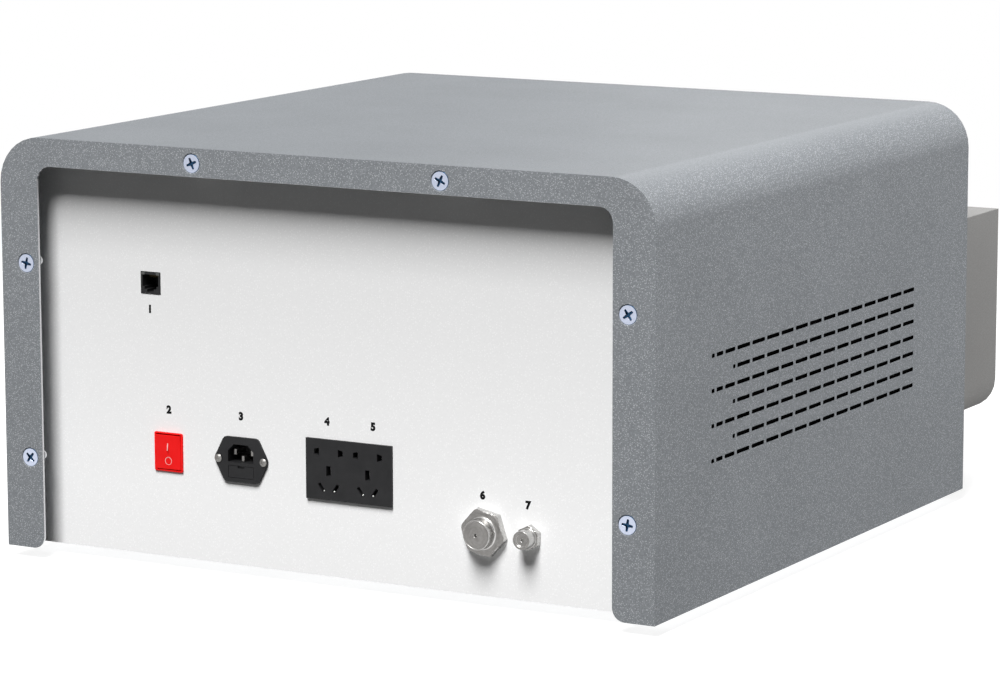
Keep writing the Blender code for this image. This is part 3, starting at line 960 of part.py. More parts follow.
def make_entrance_slit():
    disc = cylinder("entrance_slit", "Y", (SPARK_X, 0, LIGHT_Z), SLIT_R, SLIT_Y, SLIT_Y + SLIT_T, 16)
    across, up = around(SPARK_X, LIGHT_Z, SLIT_W / 2, SLIT_H / 2)
    return paint(cut(disc, box("slit", across, (SLIT_Y - CUT, SLIT_Y + SLIT_T + CUT), up)), **BLACK)


def make_grating():
    """Concave grating and its mount, made facing -Y and then turned to face the circle's centre."""
    seat = Matrix.Translation((*GRATING, 0)) @ Matrix.Rotation(GRATING_TURN, 4, "Z")
    blank = cylinder("grating", "Y", (0, 0, LIGHT_Z), GRATING_R, 0, GRATING_T, 24)
    hollow = ((0, GRATING_HOLLOW), (GRATING_R - GRATING_RIM, -GRATING_PAST), (0, -GRATING_PAST))
    cut(blank, lathe("hollow", hollow, "Y", (0, 0, LIGHT_Z), 24))
    paint(move(blank, seat), **GLASS)
    w, low, back = MOUNT_HALF, BOX_FLOOR, GRATING_T + MOUNT_T
    mount = box("grating_mount", (-w, w), (GRATING_T + GAP, back), (low, LIGHT_Z + w))
    join(mount, box("sole", (-w, w), (-SOLE_FRONT, back), (low, low + SOLE_T)))
    lip = (LIP_IN, back - LAP), (low + SOLE_T - LAP, LIGHT_Z - GRATING_R - GAP)
    join(mount, box("lip", (-LIP_HALF, LIP_HALF), *lip))
    paint(move(mount, seat), **BLACK)


def make_detectors():
    """Curved bar on the Rowland circle with a row of line detectors on its concave side."""
    inner, outer = ROWLAND_R + BAR_CLEAR, ROWLAND_R + BAR_CLEAR + BAR_T
    outline = arc(ROWLAND, inner, BAR_FROM, BAR_TO, CHIPS)
    outline += reversed(arc(ROWLAND, outer, BAR_FROM, BAR_TO, CHIPS))
    bar = prism("detector_bar", outline, "Z", BOX_FLOOR, LIGHT_Z + BAR_RISE)
    step = math.radians(BAR_TO - BAR_FROM) / CHIPS
    half = CHIP_SHARE * ROWLAND_R * step / 2
    across, up = around(0, LIGHT_Z, half, CHIP_H)
    for k in range(CHIPS):
        chip = box("chip", (ROWLAND_R, inner + LAP), across, up)
        turn = math.radians(BAR_FROM) + step * (k + 0.5)
        join(bar, move(chip, Matrix.Translation((*ROWLAND, 0)) @ Matrix.Rotation(turn, 4, "Z")))
    return paint(bar, **BLACK)


# Electronics, cooling and gas


def make_spark_source():
    """High-voltage source: vented case with the cable's post on its front."""
    case = box("spark_source", SOURCE_X, SOURCE_Y, (FLOOR, FLOOR + SOURCE_H))
    join(case, cylinder("post", "Y", (SOURCE_POST[0], 0, Z0 + SOURCE_POST[1]), SOURCE_POST_R,
                        SOURCE_Y[0] - SOURCE_POST_L, SOURCE_Y[0] + LAP, 12))
    y = (SOURCE_Y[1] - SOURCE_VENT_L, SOURCE_Y[1] + CUT)
    z = (FLOOR + SOURCE_VENT_Z[0], FLOOR + SOURCE_VENT_Z[1])
    for k in range(SOURCE_VENTS):
        x = SOURCE_X[0] + SOURCE_VENT_IN + SOURCE_VENT_PITCH * k
        cut(case, box("vent", (x, x + SOURCE_VENT_W), y, z))
    return paint(case, **ZINC)


def make_power_supply():
    """Case with a step behind, where its terminals stand."""
    (x0, x1), back, top, step = SUPPLY_X, SUPPLY_Y[1], FLOOR + SUPPLY_H, FLOOR + STEP
    case = box("power_supply", SUPPLY_X, SUPPLY_Y, (FLOOR, top))
    cut(case, box("step", (x0 + STEP_CHEEK, x1 - STEP_CHEEK), (back - STEP, back + CUT), (step, top + CUT)))
    join(case, box("terminals", (x0 + TERMINALS_IN, x1 - TERMINALS_IN),
                   (back - TERMINALS_Y[0], back - TERMINALS_Y[1]), (step - LAP, step + TERMINALS_H)))
    return paint(case, **ALU)


def make_main_board():
    """Readout and control board on four spacers, with its largest components."""
    low, (x0, x1), (y0, y1) = FLOOR + BOARD_RISE, BOARD_X, BOARD_Y
    board = box("main_board", BOARD_X, BOARD_Y, (low, low + BOARD_T))
    for x in (x0 + SPACER_IN, x1 - SPACER_IN):
        for y in (y0 + SPACER_IN, y1 - SPACER_IN):
            join(board, cylinder("spacer", "Z", (x, y, 0), SPACER_R, FLOOR, low + LAP, 6))
    for (x, y), (w, d), high in BOARD_PARTS:
        x, y, z = x0 + x, y0 + y, (low + LAP, low + BOARD_T + high)
        join(board, box("part", (x, x + w), (y, y + d), z))
    return paint(board, **BOARD)


def make_fan():
    """Bracket, frame with its motor hub on struts, and a seven-bladed rotor."""
    (x, y, z), half, back = FAN_AT, FAN_SIDE / 2, FAN_AT[0] + FAN_T
    sides, sheet = (y - half - BRACKET_LAP, y + half + BRACKET_LAP), (x - GAP - BRACKET_T, x - GAP)
    plate = box("fan_bracket", sheet, sides, (FLOOR, z + half + BRACKET_TOP))
    join(plate, box("sole", (x - BRACKET_SOLE, sheet[1]), sides, (FLOOR, FLOOR + BRACKET_T)))
    cut(plate, cylinder("hole", "X", (0, y, z), FAN_BORE_R, sheet[0] - CUT, x, 24))
    paint(plate, **ZINC)
    frame = prism("fan_frame", rounded(*around(y, z, half, half), FAN_R), "X", x, back)
    cut(frame, cylinder("bore", "X", (0, y, z), FAN_BORE_R, x - CUT, back + CUT, 24))
    hub = cylinder("hub", "X", (0, y, z), FAN_HUB_R, back - FAN_HUB_T, back, 20)
    struts = (back - STRUT_SUNK - STRUT_T, back - STRUT_SUNK), (-half, half), (-STRUT_W / 2, STRUT_W / 2)
    for turn in (45, 135):
        place = Matrix.Translation((0, y, z)) @ Matrix.Rotation(math.radians(turn), 4, "X")
        join(hub, move(box("strut", *struts), place))
    paint(join(frame, hub), **BLACK)


def make_rotor():
    """Hub and pitched blades, about the fan's axis."""
    (x, y, z), low, high = FAN_AT, FAN_AT[0] + ROTOR_FRONT, FAN_AT[0] + FAN_T - ROTOR_BACK
    rotor, pivot = cylinder("fan_rotor", "X", (0, y, z), FAN_HUB_R, low, high, 20), ((low + high) / 2, y, z)
    blade = (-BLADE_T / 2, BLADE_T / 2), (FAN_HUB_R - BLADE_ROOT, ROTOR_R), (-BLADE_W / 2, BLADE_W / 2)
    for k in range(BLADES):
        turn = Matrix.Rotation(2 * math.pi * k / BLADES, 4, "X") @ Matrix.Rotation(BLADE_TURN, 4, "Y")
        join(rotor, move(box("blade", *blade), Matrix.Translation(pivot) @ turn))
    return paint(hang(rotor, pivot), **BLACK)


def make_valve_block():
    """Argon valve block with two solenoid coils, and the stubs that its hoses butt against."""
    top, y, argon = Z0 + VALVE_H, (VALVE_Y[0] + VALVE_Y[1]) / 2, (ARGON_AT[0], 0, Z0 + ARGON_AT[1])
    block = box("valve_block", VALVE_X, VALVE_Y, (FLOOR, top))
    for x in (VALVE_X[0] + COIL_IN, VALVE_X[1] - COIL_IN):
        join(block, cylinder("coil", "Z", (x, y, 0), COIL_R, top - LAP, top + COIL_H, 16))
    join(block, cylinder("inlet", "Y", argon, ARGON_HOSE_R, VALVE_Y[1] - LAP, VALVE_Y[1] + STUB, 12))
    out = VALVE_X[1] - LAP, VALVE_X[1] + STUB
    join(block, cylinder("outlet", "X", (0, OUTLET_Y, OUTLET_Z), ARGON_HOSE_R, *out, 12))
    return paint(block, **BRASS)


def make_argon_hoses():
    """Argon in to the valves, and on to the spark: each hose butts against its two stubs."""
    x, z = ARGON_AT[0], Z0 + ARGON_AT[1]
    ends = ((x, FITTING_END - GAP, z), (x, VALVE_Y[1] + STUB + GAP, z))
    paint(tube("argon_inlet_hose", ends, ARGON_HOSE_R), **HOSE)
    port, side = ARGON_PORT[0], SPARK_X + CHAMBER_X / 2 + GAP
    way = [
        *along((VALVE_X[1] + STUB + GAP, OUTLET_Y, OUTLET_Z), VALVE_TO_HOSE),
        *along((port, OUTLET_Y, OUTLET_Z), ARGON_IN_TRAY),
        *along((port, FRONT_PANEL_Y, Z0 + ARGON_PORT[1]), ARGON_AT_PORT),
        *along((side, FEED_Y, FEED_Z), ARGON_UP),
    ]
    paint(tube("argon_hose", smooth_path(way, 2), ARGON_HOSE_R, 1), **HOSE)


def make_waste_hose():
    """Waste gas from the spark back to its fitting on the rear panel."""
    port, side = WASTE_PORT[0], SPARK_X + CHAMBER_X / 2 + GAP
    way = [
        *along((side, SPARK_Y, EXHAUST_Z), WASTE_DOWN),
        *along((port, FRONT_PANEL_Y, Z0 + WASTE_PORT[1]), WASTE_AT_PORT),
        *along((port, 0, OUTLET_Z), WASTE_IN_TRAY),
        *along((WASTE_AT[0], FITTING_END - GAP, Z0 + WASTE_AT[1]), WASTE_TO_FITTING),
    ]
    paint(tube("waste_hose", smooth_path(way, 2), WASTE_HOSE_R), **HOSE)


def make_spark_cable():
    """High voltage from the source's post to the foot of the electrode's base."""
    post = (SOURCE_POST[0], SOURCE_Y[0] - SOURCE_POST_L - GAP, Z0 + SOURCE_POST[1])
    way = [
        *along(post, CABLE_FROM_POST),
        *along((CABLE_PORT[0], FRONT_PANEL_Y, Z0 + CABLE_PORT[1]), CABLE_AT_PORT),
        *along((SPARK_X, SPARK_Y, BASE_LOW - GAP), CABLE_TO_BASE),
    ]
    paint(tube("spark_cable", smooth_path(way), CABLE_R, 1), **RED)


make_cover()
make_base_tray()
make_feet()
make_rear_panel()
make_side_channels()
make_rear_screws()
make_lan_jack()
make_switch()
make_inlet()
make_fuse_drawer()
make_outlets()
make_gas_fittings()
make_front_panel()
make_buttons()
make_stand_housing()
make_stand_door()
make_spark_table()
make_spark_chamber()
make_electrode()
make_light_tube()
make_clamp()
make_optical_chamber()
make_entrance_slit()
make_grating()
make_detectors()
make_spark_source()
make_power_supply()
make_main_board()
make_fan()
make_rotor()
make_valve_block()
make_argon_hoses()
make_waste_hose()
make_spark_cable()
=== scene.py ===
"""Looks of the benchtop optical emission spectrometer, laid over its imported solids, in metres.
+Z is up, the connector panel faces +Y, the spark stand -Y, and the photographed side -X."""

import math

import bmesh
import bpy
import numpy as np
from mathutils import Matrix, Vector


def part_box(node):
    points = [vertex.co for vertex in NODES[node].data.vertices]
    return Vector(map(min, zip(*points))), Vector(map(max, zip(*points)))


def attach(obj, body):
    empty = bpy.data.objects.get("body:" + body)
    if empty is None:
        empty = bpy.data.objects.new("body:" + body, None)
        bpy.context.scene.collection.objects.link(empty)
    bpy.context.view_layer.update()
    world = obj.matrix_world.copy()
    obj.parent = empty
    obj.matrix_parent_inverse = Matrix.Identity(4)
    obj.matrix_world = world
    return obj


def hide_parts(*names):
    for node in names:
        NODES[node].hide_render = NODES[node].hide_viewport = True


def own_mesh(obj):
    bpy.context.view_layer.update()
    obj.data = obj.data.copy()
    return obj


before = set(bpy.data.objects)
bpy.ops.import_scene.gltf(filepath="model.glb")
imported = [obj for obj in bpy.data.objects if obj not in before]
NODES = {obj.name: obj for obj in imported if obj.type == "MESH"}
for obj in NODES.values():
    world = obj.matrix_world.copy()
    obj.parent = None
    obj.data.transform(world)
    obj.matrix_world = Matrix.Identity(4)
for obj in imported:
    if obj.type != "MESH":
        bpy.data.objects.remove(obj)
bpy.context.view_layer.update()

MM = 0.001
TURN = 2 * math.pi

# Places and sizes that the solids also have; Z0 is the height of the cover's lower edge
COVER_X, REAR_Y, Z0, SHEET = 280 * MM, 276.5 * MM, 9 * MM, 2 * MM
REAR_PANEL_Y = REAR_Y - 25 * MM
FRONT_PANEL_Y = -REAR_Y + 2.3 * MM
TAB_X = 248.5 * MM  # nearer to the middle, a side channel is only its tabs
LAN_X, LAN_Z = 160.9 * MM, Z0 + 209.5 * MM
ROCKER_X, ROCKER_Z = 146.2 * MM, Z0 + 81.2 * MM
INLET_X, INLET_Z, INLET_SCREW_X = 80.5 * MM, Z0 + 81.3 * MM, 20 * MM
OUTLET_X, SOCKET_X = -13.55 * MM, 16.85 * MM

# The same in millimetres: the flange's screws as x and height above Z0, its window, and the vent slots
SCREW_AT = ((257.9, 220.9), (257.9, 70.6), (106.2, 305.9), (-106.2, 305.9), (-257.9, 220.9), (-257.9, 70.6))
SCREW_TURNS = (12, 40, 68, 25, 55, 8)  # degrees, of the cross in each screw
WINDOW_X, WINDOW_TOP, WINDOW_R, WINDOW_FOOT_R = 246, 305, 11, 10
VENT_ROWS, VENT_TOP, VENT_DROP = 7, 180.3, 12.85
VENT_FULL, VENT_START, VENT_PITCH, VENT_LONG = 13, 129.8, 24.72, 20.9
VENT_SHORTER = (((88.1, 4.6), (96.0, 10.4), (110.0, 15.9)), ((122.7, 3.9),))  # starts and lengths, by turns


# Finishes: every pattern is read in the object's own metres


def finish(name, metallic=0.0, roughness=0.5, **sockets):
    """A new material whose plain values stand on its shader's own sockets."""
    material = bpy.data.materials.new(name)
    material.use_nodes = True
    shader = material.node_tree.nodes["Principled BSDF"]
    values = {"Metallic": metallic, "Roughness": roughness}
    values.update({key.replace("_", " "): value for key, value in sockets.items()})
    for key, value in values.items():
        shader.inputs[key].default_value = value
    return material


def add(material, kind, settings=None, **inputs):
    """A shader node with these settings, and these plain values or links on its inputs."""
    tree = material.node_tree
    made = tree.nodes.new("ShaderNode" + kind)
    for key, value in (settings or {}).items():
        setattr(made, key, value)
    for key, value in inputs.items():
        socket = made.inputs[int(key[1:])] if key[0] == "_" else made.inputs[key.replace("_", " ")]
        if isinstance(value, bpy.types.NodeSocket):
            tree.links.new(value, socket)
        else:
            socket.default_value = value
    return made


def lead(material, socket, name):
    """Links a socket to the shader's input of this name."""
    tree = material.node_tree
    tree.links.new(socket, tree.nodes["Principled BSDF"].inputs[name])


def grain(material, size, stretch=(1, 1, 1), detail=2.0, roughness=0.5):
    """Noise whose lumps are about this size, longer along an axis where stretch is above 1."""
    place = add(material, "TexCoord").outputs["Object"]
    scale = tuple(1 / (size * s) for s in stretch)
    place = add(material, "Mapping", Vector=place, Scale=scale).outputs["Vector"]
    noise = add(material, "TexNoise", Vector=place, Scale=1.0, Detail=detail, Roughness=roughness)
    return noise.outputs["Fac"]


def tint(material, factor, dark, light, low=0.3, high=0.7):
    """A colour between dark and light as the factor goes from low to high."""
    ramp = add(material, "ValToRGB", Fac=factor)
    for stop, at, colour in zip(ramp.color_ramp.elements, (low, high), (dark, light)):
        stop.position, stop.color = at, (*colour, 1)
    return ramp.outputs["Color"]


def blend_colours(material, factor, a, b):
    """Colour a where the factor is 0 and b where it is 1."""
    mix = add(material, "Mix", {"data_type": "RGBA"})
    for socket, value in ((0, factor), (6, a), (7, b)):
        if isinstance(value, bpy.types.NodeSocket):
            material.node_tree.links.new(value, mix.inputs[socket])
        else:
            mix.inputs[socket].default_value = (*value, 1)
    return mix.outputs[2]


def between(material, factor, low, high, start=0.3, end=0.7):
    """A number from low to high as the factor goes from start to end."""
    made = add(material, "MapRange", _0=factor, _1=start, _2=end, _3=low, _4=high)
    return made.outputs["Result"]


def relief(material, height, strength, depth):
    """A bump from this height."""
    return add(material, "Bump", Height=height, Strength=strength, Distance=depth).outputs["Normal"]


def worked(material, operation, a, b):
    """Two numbers taken together by this operation."""
    return add(material, "Math", {"operation": operation}, _0=a, _1=b).outputs[0]


def flecks(material, pitch, radius, share):
    """1 inside small round specks: this share of the cells holds one each, round the cell's own point."""
    place = add(material, "TexCoord").outputs["Object"]
    cells = add(material, "TexVoronoi", Vector=place, Scale=1 / pitch)
    near = worked(material, "LESS_THAN", cells.outputs["Distance"], radius / pitch)
    split = add(material, "SeparateColor", Color=cells.outputs["Color"])
    chosen = worked(material, "LESS_THAN", split.outputs[0], share)
    return worked(material, "MULTIPLY", near, chosen)


COAT_SHEEN = 0.0025
PAINTED_SHADE_FROM, PAINTED_SHADE_TO = 60 * MM, 250 * MM  # heights between which painted shade darkens a coat towards its top
SPECKS_LEFT, LEVEL_PAINTED_SHADE = 0.15, 0.11  # shares, on level faces: the specks that are left, and the painted shade that darkens them


def coat(name, dark, light, fleck, share, lump=1.1 * MM, pitch=1.7 * MM, radius=0.6 * MM, fade=0):
    """Baked powder coat: a softly mottled ground, crisp pale specks, and a slightly rough skin. Level
    faces have hardly any specks, and painted shade makes them a little darker. Where fade is given,
    painted shade darkens the coat by that factor towards its top."""
    m = finish(name, Specular_IOR_Level=COAT_SHEEN)
    place = add(m, "TexCoord").outputs
    mottle = tint(m, grain(m, lump, roughness=0.6), dark, light, 0.35, 0.65)
    # Painted shade: where fade is given, the coat darkens by that factor towards its top.
    if fade:
        height = add(m, "SeparateXYZ", Vector=place["Object"]).outputs["Z"]
        high = between(m, height, 0, 1, PAINTED_SHADE_FROM, PAINTED_SHADE_TO)
        broad = tint(m, high, (1.0, 1.0, 1.0), (fade, fade, fade), 0, 1)
    else:
        broad = tint(m, grain(m, 90 * MM), (0.97, 0.97, 0.97), (1.03, 1.03, 1.03))
    up = add(m, "SeparateXYZ", Vector=place["Normal"]).outputs["Z"]
    left = between(m, up, 1, SPECKS_LEFT, 0.75, 0.97)
    specks = worked(m, "MULTIPLY", flecks(m, pitch, radius, share), left)
    speckled = blend_colours(m, specks, mottle, fleck)
    mix = add(m, "Mix", {"data_type": "RGBA", "blend_type": "MULTIPLY"}, _0=1.0, _6=speckled, _7=broad)
    # Painted shade: level faces are blended a little towards black.
    level = between(m, up, 0, LEVEL_PAINTED_SHADE, 0.990, 0.999)
    lead(m, blend_colours(m, level, mix.outputs[2], (0.0, 0.0, 0.0)), "Base Color")
    lead(m, between(m, grain(m, 2 * MM), 0.40, 0.50), "Roughness")
    lead(m, relief(m, grain(m, 0.6 * MM, detail=3.0), 0.35, 0.05 * MM), "Normal")
    return m


def moulded(name, dark, light, roughness, lump=0.35 * MM, **sockets):
    """Moulded plastic: an even colour with faint clouds, over a fine spark-eroded grain."""
    m = finish(name, **sockets)
    lead(m, tint(m, grain(m, 14 * MM, detail=3.0), dark, light), "Base Color")
    lead(m, between(m, grain(m, 5 * MM), roughness - 0.06, roughness + 0.06), "Roughness")
    lead(m, relief(m, grain(m, lump, detail=1.0), 0.25, 0.03 * MM), "Normal")
    return m


def metal(name, dark, light, roughness, stretch=(1, 1, 1), lump=0.3 * MM, strength=0.2):
    """Bare metal: scratches or grain of this size, drawn out along the axes that stretch names."""
    m = finish(name, metallic=1.0)
    drawn = grain(m, lump, stretch, detail=3.0)
    lead(m, tint(m, drawn, dark, light, 0.25, 0.75), "Base Color")
    lead(m, between(m, grain(m, 6 * MM, detail=3.0), roughness - 0.025, roughness + 0.025), "Roughness")
    lead(m, relief(m, drawn, strength, 0.02 * MM), "Normal")
    return m


def zinc_sheet():
    """Galvanised sheet: large pale spangles, each with its own tone, and fine rolling marks."""
    m = finish("zinc_sheet", metallic=1.0)
    place = add(m, "TexCoord").outputs["Object"]
    cells = add(m, "TexVoronoi", Vector=place, Scale=1 / (9 * MM))
    tone = add(m, "SeparateColor", Color=cells.outputs["Color"]).outputs[0]
    lead(m, tint(m, tone, (0.50, 0.52, 0.54), (0.66, 0.68, 0.70), 0.0, 1.0), "Base Color")
    lead(m, between(m, tone, 0.34, 0.52, 0.0, 1.0), "Roughness")
    lead(m, relief(m, grain(m, 0.3 * MM, (8, 1, 1)), 0.15, 0.02 * MM), "Normal")
    return m


def circuit_board():
    """Green solder mask with fine tracks, as edges of square cells, and pale printed specks."""
    m = finish("circuit_board", roughness=0.35, Coat_Weight=0.3, Coat_Roughness=0.2)
    place = add(m, "TexCoord").outputs["Object"]
    square = {"distance": "MANHATTAN", "feature": "F1"}
    cells = add(m, "TexVoronoi", square, Vector=place, Scale=1 / (3.5 * MM))
    track = between(m, cells.outputs["Distance"], 0, 1, 0.42, 0.46)
    mask = tint(m, grain(m, 25 * MM), (0.010, 0.075, 0.030), (0.016, 0.110, 0.045))
    traced = blend_colours(m, track, mask, (0.03, 0.18, 0.07))
    lead(m, blend_colours(m, flecks(m, 7 * MM, 0.8 * MM, 0.4), traced, (0.6, 0.55, 0.35)), "Base Color")
    lead(m, relief(m, track, 0.2, 0.04 * MM), "Normal")
    return m


def lens_glass():
    """Clear fused silica."""
    m = finish("lens_glass", roughness=0.02, IOR=1.46, Transmission_Weight=1.0)
    lead(m, tint(m, grain(m, 30 * MM), (0.97, 0.98, 0.99), (1.0, 1.0, 1.0)), "Base Color")
    lead(m, relief(m, grain(m, 12 * MM), 0.02, 0.02 * MM), "Normal")
    return m


def ruled_mirror():
    """Coated glass with close upright rulings, which a fine drawn-out grain stands for."""
    m = finish("ruled_mirror", metallic=1.0, Coat_Weight=0.4)
    rulings = grain(m, 0.12 * MM, (1, 1, 200), detail=0.0)
    lead(m, tint(m, grain(m, 16 * MM), (0.62, 0.60, 0.68), (0.70, 0.74, 0.72)), "Base Color")
    lead(m, between(m, rulings, 0.06, 0.14), "Roughness")
    lead(m, relief(m, rulings, 0.12, 0.01 * MM), "Normal")
    return m


COVER_COAT = coat("cover_coat", (0.200, 0.212, 0.225), (0.250, 0.264, 0.279), (0.430, 0.446, 0.464), 0.8,
                  pitch=1.2 * MM, radius=0.38 * MM)
STAND_COAT = coat("stand_coat", (0.270, 0.267, 0.262), (0.310, 0.307, 0.302), (0.33, 0.327, 0.322), 0.2)
# Painted shade: the panel's white darkens towards its top.
PANEL_WHITE = coat("panel_white", (0.915, 0.915, 0.915), (0.935, 0.935, 0.935), (1.0, 1.0, 1.0), 0.6,
                   lump=2 * MM, radius=0.52 * MM, fade=0.82)
BLACK_PLASTIC = moulded("black_plastic", (0.011, 0.011, 0.012), (0.018, 0.018, 0.019), 0.45,
                        Specular_IOR_Level=0.2)
RED_PLASTIC = moulded("red_plastic", (0.90, 0.011, 0.011), (0.94, 0.013, 0.013), 0.45,
                      Specular_IOR_Level=0.15)
GREEN_PLASTIC = moulded("green_plastic", (0.012, 0.27, 0.05), (0.018, 0.33, 0.07), 0.30, Coat_Weight=0.25)
MARK_PINK = moulded("rocker_mark", (0.86, 0.45, 0.44), (0.90, 0.52, 0.50), 0.5)
INK = moulded("printed_ink", (0.006, 0.006, 0.007), (0.010, 0.010, 0.011), 0.6, Specular_IOR_Level=0.05)
RUBBER = moulded("foot_rubber", (0.014, 0.014, 0.014), (0.024, 0.024, 0.024), 0.75, 0.8 * MM)
CERAMIC = moulded("white_ceramic", (0.76, 0.74, 0.69), (0.82, 0.80, 0.76), 0.28, 0.9 * MM, Coat_Weight=0.3)
HOSE = moulded("clear_hose", (0.42, 0.50, 0.56), (0.50, 0.58, 0.64), 0.22, 2 * MM)
WASTE_HOSE = moulded("waste_hose_rubber", (0.05, 0.05, 0.055), (0.08, 0.08, 0.085), 0.5, 1.2 * MM)
SILICONE = moulded("cable_silicone", (0.62, 0.05, 0.03), (0.70, 0.07, 0.04), 0.42, 0.7 * MM)
# Black foam of the filters, also worn as painted shade on the slot walls.
FOAM_AND_SLOT_SHADE = moulded("filter_foam", (0.001, 0.001, 0.001), (0.003, 0.003, 0.003), 0.9, 0.7 * MM,
               Specular_IOR_Level=0.0)
LAMP_GREY = moulded("light_pipe", (0.055, 0.057, 0.055), (0.075, 0.077, 0.075), 0.3)
TURNED_STEEL = metal("turned_steel", (0.36, 0.355, 0.345), (0.50, 0.495, 0.485), 0.30, (14, 1, 14), 0.25 * MM)
BRUSHED_STEEL = metal("brushed_steel", (0.40, 0.40, 0.39), (0.54, 0.54, 0.53), 0.36, (40, 1, 1), 0.3 * MM)
UNION_STEEL = metal("union_steel", (0.18, 0.174, 0.167), (0.25, 0.243, 0.235), 0.40, (10, 1, 10), 0.3 * MM)
# Painted light: a lighter steel for the gas unions' sides, beside the darker union steel on their faces.
STEEL_PAINTED_LIGHT = metal("steel_painted_light", (0.46, 0.455, 0.445), (0.60, 0.595, 0.585), 0.28, (1, 10, 1), 0.3 * MM)
CUT_EDGE = metal("bare_cut_edge", (0.60, 0.61, 0.62), (0.74, 0.75, 0.76), 0.45, lump=0.8 * MM)
ZINC_PLATE = metal("zinc_plate", (0.45, 0.49, 0.60), (0.56, 0.61, 0.74), 0.34, lump=0.5 * MM)
# Painted shade: dark blue steel in the cross recesses and on the bevel round the countersunk heads.
SCREW_PAINTED_SHADE = metal("screw_painted_shade", (0.012, 0.030, 0.070), (0.030, 0.090, 0.170), 0.4, lump=0.5 * MM)
CAST_ALUMINIUM = metal("cast_aluminium", (0.44, 0.44, 0.45), (0.58, 0.58, 0.59), 0.5,
                       lump=1.4 * MM, strength=0.7)
MILLED_ALUMINIUM = metal("milled_aluminium", (0.40, 0.40, 0.41), (0.52, 0.52, 0.53), 0.40,
                         (1, 30, 1), 0.35 * MM)
BRASS = metal("brass", (0.66, 0.48, 0.22), (0.80, 0.60, 0.30), 0.28, (1, 10, 1), 0.3 * MM)
TUNGSTEN = metal("tungsten", (0.30, 0.29, 0.28), (0.44, 0.43, 0.41), 0.30, (1, 1, 12), 0.2 * MM)
SPRING_STEEL = metal("spring_steel", (0.34, 0.34, 0.35), (0.50, 0.50, 0.51), 0.26)
# Painted shade: the contact gold is darkened far below its own colour, as it lies deep in the socket.
GOLD_PAINTED_SHADE = metal("contact_gold_painted_shade", (0.05, 0.038, 0.018), (0.07, 0.054, 0.026), 0.35)
CONTACT_STEEL = metal("contact_steel", (0.50, 0.50, 0.48), (0.64, 0.64, 0.62), 0.3)
ZINC_SHEET, CIRCUIT_BOARD = zinc_sheet(), circuit_board()
LENS_GLASS, RULED_MIRROR = lens_glass(), ruled_mirror()


# Surfaces


def shown(name, data):
    """A new object in the scene that shows this data."""
    made = bpy.data.objects.new(name, data)
    bpy.context.scene.collection.objects.link(made)
    return made


def piece(name, points, faces, sharp=35):
    """A mesh object from whole arrays of points and faces: doubles merged, faces turned outwards,
    smooth but for edges sharper than this angle."""
    mesh = bpy.data.meshes.new(name)
    mesh.from_pydata(points.reshape(-1, 3).tolist(), [], faces.tolist())
    work = bmesh.new()
    work.from_mesh(mesh)
    bmesh.ops.remove_doubles(work, verts=work.verts, dist=1e-6)
    bmesh.ops.recalc_face_normals(work, faces=work.faces)
    work.to_mesh(mesh)
    work.free()
    mesh.shade_smooth()
    mesh.set_sharp_from_angle(angle=math.radians(sharp))
    return shown(name, mesh)


def cells(rows, columns, round_rows=False, round_columns=False):
    """Corner numbers of each four-sided cell of a grid, whose last row or column may meet its first."""
    r = np.arange(rows if round_rows else rows - 1)[:, None]
    c = np.arange(columns if round_columns else columns - 1)[None, :]
    r, c = np.broadcast_arrays(r, c)
    down, right = (r + 1) % rows, (c + 1) % columns
    corners = (r * columns + c, r * columns + right, down * columns + right, down * columns + c)
    return np.stack(corners, -1).reshape(-1, 4)


def skin(name, grid, round_rows=False, round_columns=False, sharp=35):
    """The surface through a grid of points."""
    return piece(name, grid, cells(*grid.shape[:2], round_rows, round_columns), sharp)


def gathered(name, parts):
    """Several pieces as one object."""
    work = bmesh.new()
    for part in parts:
        work.from_mesh(part.data)
        bpy.data.objects.remove(part)
    mesh = bpy.data.meshes.new(name)
    work.to_mesh(mesh)
    work.free()
    return shown(name, mesh)


def finished_mesh(obj):
    """A copy of an object's mesh with its modifiers applied."""
    bpy.context.view_layer.update()
    return bpy.data.meshes.new_from_object(obj.evaluated_get(bpy.context.evaluated_depsgraph_get()))


def laid(points, axis, centre):
    """Points whose third number runs along this axis, moved to the centre."""
    order = {"X": (2, 0, 1), "Y": (0, 2, 1), "Z": (0, 1, 2)}[axis]
    return points[..., order] + np.asarray(centre, float)


def eased(profile, reach, steps=4):
    """A profile whose corners are curves: corner + a(1-t)^2 + b t^2, a and b leading to its neighbours."""
    p = np.asarray(profile, float)
    here, t = p[1:-1], np.linspace(0, 1, steps)[None, :, None]
    arms = []
    for other in (p[:-2], p[2:]):
        way = other - here
        length = np.maximum(np.linalg.norm(way, axis=1, keepdims=True), 1e-9)
        arms.append((way / length * np.minimum(reach, length * 0.45))[:, None])
    curve = here[:, None] + arms[0] * (1 - t) ** 2 + arms[1] * t**2
    return np.vstack([p[:1], curve.reshape(-1, p.shape[1]), p[-1:]])


def turned(name, profile, axis, centre, steps=64):
    """A profile of (radius, height) carried round an axis: (r cos a, r sin a, h)."""
    r, h = np.asarray(profile, float).T
    a = np.linspace(0, TURN, steps, endpoint=False)[:, None]
    grid = np.stack([r * np.cos(a), r * np.sin(a), np.broadcast_to(h, (steps, len(r)))], -1)
    return skin(name, laid(grid, axis, centre), round_rows=True)


